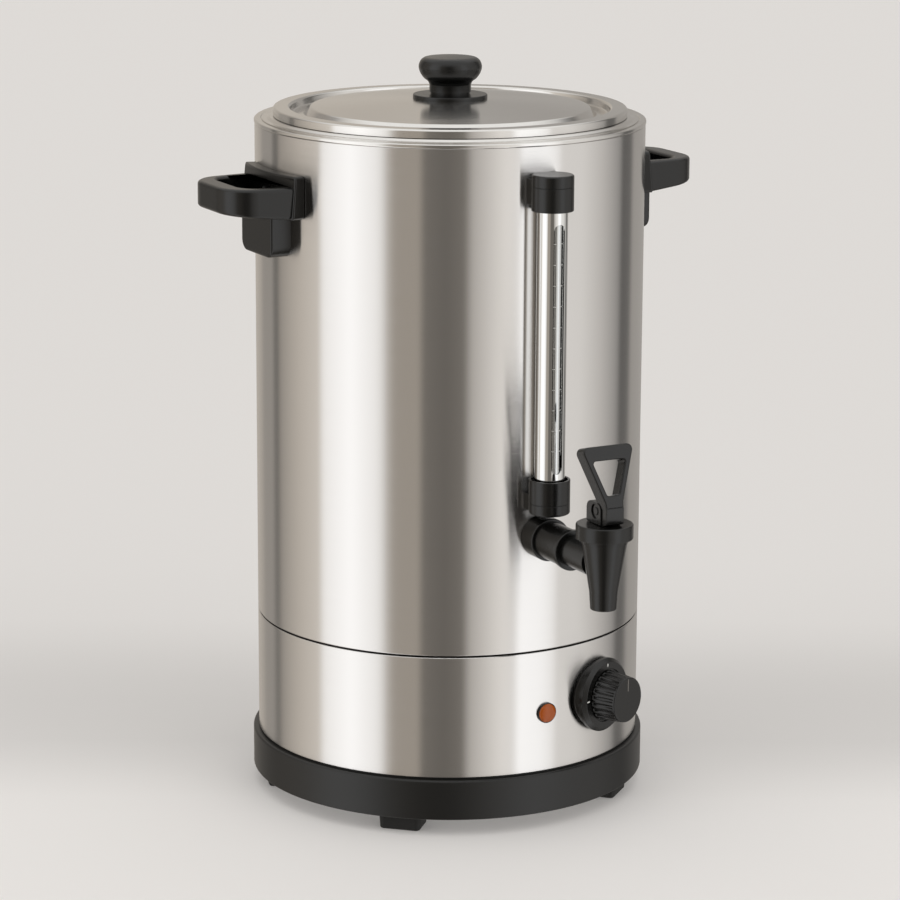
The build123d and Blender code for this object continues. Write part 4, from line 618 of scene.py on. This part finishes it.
# a half-round lens strip inside the tube, right behind its slot
lensShape = {"radius": 4.6, "forward": 5.1, "half": 65, "low": 258, "high": 445}
p = lensShape
around = np.radians(np.linspace(-p["half"], p["half"], 33))
bow = np.stack([p["radius"] * np.sin(around), -p["forward"] - p["radius"] * np.cos(around)], -1)
lensStrip = placed(slab([bow], p["high"] - p["low"], 0.05, arcSteps=1, hold=0.02),
                   gaugeAt + up * p["low"], alongX, alongY)
piece("gaugeLensStrip", [lensStrip], "urn", silveredGlass)

# plain dashes up the strip, a pair at each level, one each side of the slot's middle
dashShape = {"low": 280, "high": 425, "count": 11, "half": 0.8, "height": 0.4, "turn": 36,
             "depth": 0.2, "sunk": 0.05}
p = dashShape
dashes = []
for z in np.linspace(p["low"], p["high"], p["count"]):
    for turn in (-p["turn"], p["turn"]):
        outline = rounded(panel(p["half"], z, z + p["height"]))
        dashes.append(placed(slab([outline], p["depth"], 0.02, arcSteps=1, hold=0.05),
                             gaugeAt + outward(0) * lensShape["forward"]
                             + outward(turn) * (lensShape["radius"] - p["sunk"]), sideways(turn), up))
piece("gaugeTicks", dashes, "urn", whitePrint)
print("stage: gauge")


# Tap: flange, shank and union along a radius, then the body, bonnet and lever on an upright axis

tapShape = {"height": 215.5, "reach": 229.0, "wall": 139.6, "flangeFront": 155, "flange": 15.2,
            "flangeBore": 10.05, "shank": 10.0, "shankBore": 6.0, "shankStart": 110.9,
            "sleeve": 13.3, "socket": 9.05, "socketStart": 168, "unionStart": 182,
            "union": 14.3, "unionEdge": 0.8, "unionFront": 187, "spigot": 9.0, "neck": 11.0,
            "neckFront": 217.5, "waterway": 4.5}
p = tapShape
tapRadial = (up * p["height"], outward(0), up)
tapAt = outward(0) * p["reach"]
tapAxis = (tapAt, up, front)
piece("tapFlange", [lathed([
    (p["flangeBore"], p["wall"]), (p["flange"], p["wall"]), (p["flange"], p["flangeFront"], 0.8),
    (p["flangeBore"], p["flangeFront"])], tapRadial, 96)],
    "urn", blackPlastic, ["tap_flange"])
piece("tapShank", [lathed([
    (p["shankBore"], p["shankStart"]), (p["shank"], p["shankStart"], 0.5),
    (p["shank"], p["flangeFront"]), (p["sleeve"], p["flangeFront"], 0.4),
    (p["sleeve"], p["unionStart"], 0.4), (p["socket"], p["unionStart"]),
    (p["socket"], p["socketStart"]), (p["shankBore"], p["socketStart"])], tapRadial, 96)],
    "urn", blackPlastic, ["tap_shank"])
piece("tapUnionRing", [lathed([
    (p["socket"], p["unionStart"]), (p["union"], p["unionStart"], p["unionEdge"]),
    (p["union"], p["unionFront"], p["unionEdge"]), (p["socket"], p["unionFront"])], tapRadial, 96)],
    "urn", blackPlastic, ["tap_union_ring"])
tapNeck = lathed([
    (p["waterway"], p["socketStart"]), (p["spigot"], p["socketStart"]), (p["spigot"], p["unionFront"]),
    (p["neck"], p["unionFront"], 0.4), (p["neck"], p["neckFront"]), (p["waterway"], p["neckFront"])],
    tapRadial, 96)

# a cone from the nozzle to the chamber, with a collar on top, bored out for water and stem
chamberShape = {"outlet": 184.8, "outletBore": 6.5, "outletTop": 204.8, "seat": 4.5, "seatTop": 206.8,
                "nozzle": 9.1, "coneStart": 197.3, "coneFoot": 9.95, "coneTop": 15.6,
                "collar": 15.9, "collarLow": 231.6, "top": 234.6, "bore": 8.6}
p = chamberShape
chamber = lathed([
    (p["outletBore"], p["outlet"], 0.6), (p["nozzle"], p["outlet"], 0.8),
    (p["coneFoot"], p["coneStart"], 0.3), (p["coneTop"], p["collarLow"], 0.2),
    (p["collar"], p["collarLow"], 0.1), (p["collar"], p["top"], 0.2), (p["bore"], p["top"]),
    (p["bore"], p["seatTop"]), (p["seat"], p["seatTop"]), (p["seat"], p["outletTop"]),
    (p["outletBore"], p["outletTop"])], tapAxis, 128)
piece("tapBody", [tapNeck, chamber], "urn", blackPlastic, ["tap_body"])

bonnetShape = {"stemBore": 2.55, "plug": 8.55, "plugLow": 232.6, "radius": 19.65, "low": 234.6,
               "top": 245}
p = bonnetShape
piece("tapBonnet", [lathed([
    (p["stemBore"], p["plugLow"]), (p["plug"], p["plugLow"]), (p["plug"], p["low"]),
    (p["radius"], p["low"], 0.8), (p["radius"], p["top"], 1.2), (p["stemBore"], p["top"])],
    tapAxis, 128)], "urn", blackPlastic, ["tap_bonnet"])

# the lever: a solid block under a leaning grip, with a thin ear on each side of the block
leverShape = {"pin": 254.0, "half": 6.8, "front": 14.0, "frontLow": -6.6, "back": 11.5,
              "backCorner": 1.5, "crease": 4.0, "ear": 6.3, "earCorner": 5.5, "foot": -8.7,
              "heelBase": 8.0, "heelReach": 8.7, "heelTurn": 32, "earStart": 6.4,
              "earThickness": 1.4, "earFront": -7.5, "earHole": 5.0}
gripShape = {"lean": 15.6, "thickness": 11.0, "edge": 1.1, "foot": -0.5, "footHalf": 6.8,
             "neck": 4.5, "neckHalf": 7.2, "neckBend": 3.0, "top": 43.0, "topHalf": 20.5,
             "topCorner": 4.0, "holeLow": 9.0, "holeLowHalf": 4.4, "holeHigh": 33.0,
             "holeHighHalf": 12.8, "holeCorner": 2.0}
p = leverShape
pinAt = tapAt + up * p["pin"]
# Outlines are seen from the +X side: x to the back, y up. The heel is an involute about the pin:
# at angle a, its reach is heelReach + heelBase * a, down a line at heelBase from the pin.
a = np.radians(np.linspace(0, p["heelTurn"], 9))
reach = p["heelReach"] + p["heelBase"] * a
heel = np.stack([-(reach * np.sin(a) + p["heelBase"] * np.cos(a)),
                 p["heelBase"] * np.sin(a) - reach * np.cos(a)], -1)
block = np.concatenate([
    np.array([(-p["front"], p["frontLow"])]), heel[::-1],
    rounded([(heel[0][0], p["foot"]), (p["back"], p["foot"], p["backCorner"]),
             (p["back"], p["ear"], p["earCorner"]), (0, p["ear"]), (-p["front"], p["crease"])],
            closed=False)[1:]])
leverParts = [placed(slab([block], 2 * p["half"], 0.5), pinAt - alongX * p["half"], alongY, up)]
g = gripShape
leanUp = np.array([0, math.sin(math.radians(g["lean"])), math.cos(math.radians(g["lean"]))])
grip = rounded([(-g["footHalf"], g["foot"], 0.5), (g["footHalf"], g["foot"], 0.5),
                (g["neckHalf"], g["neck"], g["neckBend"]), (g["topHalf"], g["top"], g["topCorner"]),
                (-g["topHalf"], g["top"], g["topCorner"]), (-g["neckHalf"], g["neck"], g["neckBend"])],
               step=10)
hole = rounded([(-g["holeLowHalf"], g["holeLow"], g["holeCorner"]),
                (-g["holeHighHalf"], g["holeHigh"], g["holeCorner"]),
                (g["holeHighHalf"], g["holeHigh"], g["holeCorner"]),
                (g["holeLowHalf"], g["holeLow"], g["holeCorner"])], step=15)
gripAt = pinAt + np.array([0, -p["front"], p["crease"]]) - np.cross(alongX, leanUp) * g["thickness"]
leverParts.append(placed(slab([grip, hole], g["thickness"], g["edge"]), gripAt, alongX, leanUp))
ear = rounded([(p["earFront"], p["foot"], 0.5), (p["back"], p["foot"], p["backCorner"]),
               (p["back"], p["ear"], p["earCorner"]), (p["earFront"], p["ear"], p["earCorner"])],
              step=10)
# the hole in each ear runs clockwise, so that it keeps the material on its left
clockwise = -np.linspace(0, 2 * math.pi, 48, endpoint=False)
earHole = p["earHole"] * np.stack([np.cos(clockwise), np.sin(clockwise)], -1)
for start in (-p["earStart"] - p["earThickness"], p["earStart"]):
    leverParts.append(placed(slab([ear, earHole], p["earThickness"], 0.35),
                             pinAt + alongX * start, alongY, up))
piece("tapLever", leverParts, "tap_lever", blackPlastic, ["tap_lever"])
print("stage: tap")


# Dial, its fluted knob and the pilot lamp, all turned about radii of the body

dialShape = {"azimuth": 23.3, "height": 89.5, "bore": 5.45, "boss": 24.6, "bossStart": 136.5,
             "rim": 26.75, "rimStart": 142.4, "rimFront": 145.4, "faceRadius": 24.15,
             "face": 148.0, "wellRadius": 19.2, "well": 146.8}
p = dialShape
dialOut = outward(p["azimuth"])
dialAxis = (up * p["height"], dialOut, up)
piece("dialPlate", [lathed([
    (p["bore"], p["bossStart"]), (p["boss"], p["bossStart"]), (p["boss"], p["rimStart"]),
    (p["rim"], p["rimStart"], 0.2), (p["rim"], p["rimFront"], 0.5),
    (p["faceRadius"], p["face"], 0.5), (p["wellRadius"], p["face"], 0.3),
    (p["wellRadius"], p["well"]), (p["bore"], p["well"])], dialAxis, 128)],
    "urn", blackPlastic, ["dial_plate"])

# the knob is a cone from its skirt to its end; the flutes run between two shares of its depth
dialKnobShape = {"back": 147.1, "front": 166.3, "skirt": 18.2, "end": 16.3, "frontEdge": 0.9,
                 "flutes": 22, "pointsEach": 12, "fluteRadius": 1.7, "fluteLift": 0.75,
                 "fluteFrom": 0.06, "fluteTo": 0.88, "levels": (0.05, 0.07, 0.5, 0.86, 0.9)}


def flutedKnob(p):
    # radius(angle, depth) = cone radius less a round flute of one depth, which repeats about the
    # axis: flute = sqrt(fluteRadius^2 - (radius * offset)^2) - fluteLift, where that is above 0
    turns = p["flutes"] * p["pointsEach"]
    wall = [(p["skirt"] + (p["end"] - p["skirt"]) * share,
             p["back"] + share * (p["front"] - p["back"])) for share in p["levels"]]
    profile = rounded([(0, p["back"]), (p["skirt"], p["back"], 0.4), *wall,
                       (p["end"], p["front"], p["frontEdge"]), (0, p["front"])])
    points, faces = turned(profile, *dialAxis, turns)
    angle = np.tile(np.linspace(0, 2 * math.pi, turns, endpoint=False), len(profile))
    far = np.repeat(profile[:, 0], turns)
    along = np.repeat(profile[:, 1], turns)
    share = (along - p["back"]) / (p["front"] - p["back"])
    pitch = 2 * math.pi / p["flutes"]
    offset = (angle + pitch / 2) % pitch - pitch / 2
    dip = np.clip(p["fluteRadius"] ** 2 - (far * offset) ** 2, 0, None) ** 0.5 - p["fluteLift"]
    onWall = (share > p["fluteFrom"]) * (share < p["fluteTo"]) * (far > 10)
    cut = np.clip(dip, 0, None) * onWall
    centre = dialAxis[0] + along[:, None] * dialOut
    direction = (points - centre) / np.maximum(far, 1e-6)[:, None]
    return centre + direction * (far - cut)[:, None], faces


def printed(outline, depth, radius):
    # a thin mark on a face of the dial, which lies at a radius of the body
    return placed(slab([outline], depth, 0.03, arcSteps=1, hold=0.1),
                  dialOut * radius + up * dialShape["height"], sideways(dialShape["azimuth"]), up)


piece("dialKnob", [flutedKnob(dialKnobShape)], "dial_knob", blackPlastic,
      ["thermostat_knob"], sharp=50)
pointerShape = {"half": 0.6, "low": 6.5, "high": 15.3, "depth": 0.15}
p = pointerShape
pointer = printed(rounded(panel(p["half"], p["low"], p["high"])), p["depth"], dialKnobShape["front"])
piece("dialPointer", [pointer], "dial_knob", greyPrint)
# plain marks round the dial's face: (degrees clockwise from the top, half width, half height)
markShape = {"radius": 22.3, "depth": 0.12, "marks": [(0, 0.5, 1.1), (-90, 0.5, 1.5)]}
p = markShape
marks = []
for turn, halfWide, halfHigh in p["marks"]:
    a = math.radians(turn)
    across, away = np.array([math.cos(a), -math.sin(a)]), np.array([math.sin(a), math.cos(a)])
    corners = [away * p["radius"] + across * x * halfWide + away * y * halfHigh
               for x, y in ((-1, -1), (1, -1), (1, 1), (-1, 1))]
    marks.append(printed(np.array(corners), p["depth"], dialShape["face"]))
piece("dialTicks", marks, "urn", whitePrint)

lampShape = {"azimuth": 2.6, "height": 85.0, "tube": 5.6, "tubeStart": 116, "wall": 139.7,
             "bezel": 7.4, "front": 141.6, "well": 6.85, "wellFloor": 140.6, "lens": 6.8,
             "bulge": 2.6}
p = lampShape
lampAxis = (up * p["height"], outward(p["azimuth"]), up)
piece("lampHousing", [lathed([
    (0, p["tubeStart"]), (p["tube"], p["tubeStart"], 0.4), (p["tube"], p["wall"]),
    (p["bezel"], p["wall"]), (p["bezel"], p["front"], 0.25), (p["well"], p["front"], 0.1),
    (p["well"], p["wellFloor"]), (0, p["wellFloor"])], lampAxis, 64)],
    "urn", blackPlastic, ["lamp_housing"])
quarter = np.linspace(0, 1, 14) * math.pi / 2
lens = np.stack([p["lens"] * np.cos(quarter), p["front"] + p["bulge"] * np.sin(quarter)], -1)
lensBack = np.array([(0, p["wellFloor"]), (p["lens"], p["wellFloor"])])
piece("lampLens", [turned(np.concatenate([lensBack, lens]), *lampAxis, 64)],
      "urn", amber, ["lamp_lens"])
print("stage: dial and lamp")


# Stage: pale floor, upright bands of light round the object, camera

cameraShape = {"azimuth": -27.5, "away": 2466.78, "height": 826.57, "yaw": 0.000452,
               "pitch": 0.230602, "roll": 0.004867, "focalPixels": 3459.19, "imagePixels": 900,
               "sensor": 36}
theta = math.radians(-cameraShape["azimuth"])

# sweep, painted shade on the floor: (metres behind the object's middle, brightness of the paper); darkest
# just behind the object, lighter in front
paperShape = {"half": 30, "tone": (0.672, 0.655, 0.642), "glow": 0.18, "rampStart": -0.3,
              "sweep": [(-0.25, 1.12), (-0.1, 1.13), (-0.06, 1.12), (-0.02, 1.07), (0.03, 0.99),
                        (0.075, 0.93), (0.13, 0.91), (0.18, 0.9), (0.235, 0.905), (0.29, 0.93),
                        (0.35, 0.97), (0.41, 1.0), (0.6, 1.01)]}


def paperWithPaintedShade(p):
    # Pale flat paper with painted shade: darker in a band just behind the object, lighter in front, in its
    # colour and its glow.
    material = plain("palePaperFloorPaintedShade", "#D6D4D2", 0.9, Emission_Strength=p["glow"])
    tree = material.node_tree
    shader = tree.nodes["Principled BSDF"]
    place = addNode(tree, "ShaderNodeTexCoord")
    behind = addNode(tree, "ShaderNodeVectorMath", {0: place.outputs["Object"],
                                                    1: (math.sin(theta), math.cos(theta), 0)},
                     operation="DOT_PRODUCT")
    share = addNode(tree, "ShaderNodeMapRange", {0: behind.outputs["Value"], 1: p["rampStart"],
                                                 2: p["rampStart"] + 1})
    ramp = addNode(tree, "ShaderNodeValToRGB", {0: share.outputs[0]})
    spots = ramp.color_ramp.elements
    while len(spots) < len(p["sweep"]):
        spots.new(0.5)
    for spot, (distance, level) in zip(spots, p["sweep"]):
        spot.position = distance - p["rampStart"]
        spot.color = (*(tone * level for tone in p["tone"]), 1)
    # the painted shade goes into both the paper's colour and its glow
    for socket in ("Base Color", "Emission Color"):
        tree.links.new(ramp.outputs[0], shader.inputs[socket])
    return material


p = paperShape
floorMesh = bpy.data.meshes.new("floor")
floorMesh.from_pydata([(x * p["half"], y * p["half"], 0) for x, y in ((-1, -1), (1, -1), (1, 1), (-1, 1))],
                      [], [(0, 1, 2, 3)])
floor = bpy.data.objects.new("floor", floorMesh)
bpy.context.scene.collection.objects.link(floor)
floor.data.materials.append(paperWithPaintedShade(p))
floor.visible_glossy = False

# cards and openings that the steel reflects, bands: (degrees round from the camera, brightness,
# warmth). Warmth adds red and takes blue by these shares.
lightShape = {"redShare": 0.09, "blueShare": 0.11, "zenith": (1.05, 1.045, 1.03, 1),
              "zenithFrom": 0.45, "zenithFull": 0.8, "backdrop": "#DFDBD8"}
bands = [(-180, 0.50, 1.0), (-150, 0.43, 1.0), (-144, 0.33, 0.8), (-129, 0.35, 0.8), (-127, 0.18, 0.7),
         (-121.5, 0.18, 0.7), (-120, 0.36, 1.0), (-100, 0.58, 1.0), (-83, 0.73, 0.8), (-80, 1.20, 0.1),
         (-60, 1.41, 0.0), (-44, 1.16, 0.1), (-40.5, 1.0, 0.2), (-36, 0.52, 0.8), (-32, 0.37, 1.2),
         (-18, 0.38, 1.2), (-14.5, 0.18, 1.0), (-2, 0.15, 1.0), (9, 0.19, 1.0), (13.5, 0.52, 0.6),
         (33, 0.95, 0.4), (40, 0.93, 0.3), (43.5, 1.35, 0.0), (58, 1.30, 0.0), (66, 1.15, 0.1),
         (69, 0.87, 0.3), (84, 0.86, 0.3), (100, 0.66, 0.4), (119, 0.36, 0.4), (122, 0.14, 0.4),
         (133, 0.15, 0.4), (138, 0.38, 0.6)]
p = lightShape
world = bpy.data.worlds.new("studio")
bpy.context.scene.world = world
world.use_nodes = True
tree = world.node_tree
tree.nodes.clear()
place = addNode(tree, "ShaderNodeTexCoord")
split = addNode(tree, "ShaderNodeSeparateXYZ", {0: place.outputs["Generated"]})
back = addNode(tree, "ShaderNodeMath", {0: split.outputs["Y"], 1: -1.0}, operation="MULTIPLY")
angle = addNode(tree, "ShaderNodeMath", {0: split.outputs["X"], 1: back.outputs[0]}, operation="ARCTAN2")
turn = addNode(tree, "ShaderNodeMath", {0: angle.outputs[0], 1: 1 / (2 * math.pi),
                                        2: 0.5 - cameraShape["azimuth"] / 360 + 1},
               operation="MULTIPLY_ADD")
share = addNode(tree, "ShaderNodeMath", {0: turn.outputs[0]}, operation="FRACT")
ramp = addNode(tree, "ShaderNodeValToRGB", {0: share.outputs[0]})
points = ramp.color_ramp.elements
while len(points) < len(bands):
    points.new(0.5)
for point, (degreesRound, level, warmth) in zip(points, bands):
    point.position = (degreesRound + 180) / 360
    point.color = (level * (1 + p["redShare"] * warmth), level, level * (1 - p["blueShare"] * warmth), 1)
high = addNode(tree, "ShaderNodeMapRange", {0: split.outputs["Z"], 1: p["zenithFrom"],
                                            2: p["zenithFull"], 3: 0.0, 4: 1.0})
# a mix node's colours are its sockets 6 and 7, and its colour output is 2
sky = addNode(tree, "ShaderNodeMix", {0: high.outputs[0], 6: ramp.outputs[0], 7: p["zenith"]},
              data_type="RGBA")
rays = addNode(tree, "ShaderNodeLightPath")
lit = addNode(tree, "ShaderNodeBackground", {0: sky.outputs[2], 1: 1.0})
seen = addNode(tree, "ShaderNodeBackground", {0: linear(p["backdrop"]), 1: 1.0})
pick = addNode(tree, "ShaderNodeMixShader", {0: rays.outputs["Is Camera Ray"], 1: lit.outputs[0],
                                             2: seen.outputs[0]})
addNode(tree, "ShaderNodeOutputWorld", {0: pick.outputs[0]})


def turnedView(v):
    # from the camera's own frame, which looks along +Y, to the object's
    return Vector((v[0] * math.cos(theta) + v[1] * math.sin(theta),
                   -v[0] * math.sin(theta) + v[1] * math.cos(theta), v[2]))


p = cameraShape
forward = (math.sin(p["yaw"]) * math.cos(p["pitch"]), math.cos(p["yaw"]) * math.cos(p["pitch"]),
           -math.sin(p["pitch"]))
right = np.array((math.cos(p["yaw"]), -math.sin(p["yaw"]), 0.0))
upward = np.cross(right, forward)
rolled = math.cos(p["roll"]) * right + math.sin(p["roll"]) * upward
crown = -math.sin(p["roll"]) * right + math.cos(p["roll"]) * upward
data = bpy.data.cameras.new("camera")
data.sensor_width = p["sensor"]
data.sensor_fit = "HORIZONTAL"
data.lens = p["focalPixels"] / p["imagePixels"] * p["sensor"]
data.clip_end = 100
camera = bpy.data.objects.new("camera", data)
bpy.context.scene.collection.objects.link(camera)
columns = [turnedView(rolled), turnedView(crown), -turnedView(forward)]
spot = turnedView((0, -p["away"], p["height"])) * mm
camera.matrix_world = Matrix([[columns[0][i], columns[1][i], columns[2][i], spot[i]] for i in range(3)]
                             + [[0, 0, 0, 1]])
bpy.context.scene.camera = camera
bpy.context.scene.view_settings.view_transform = "Standard"
print("stage: studio")
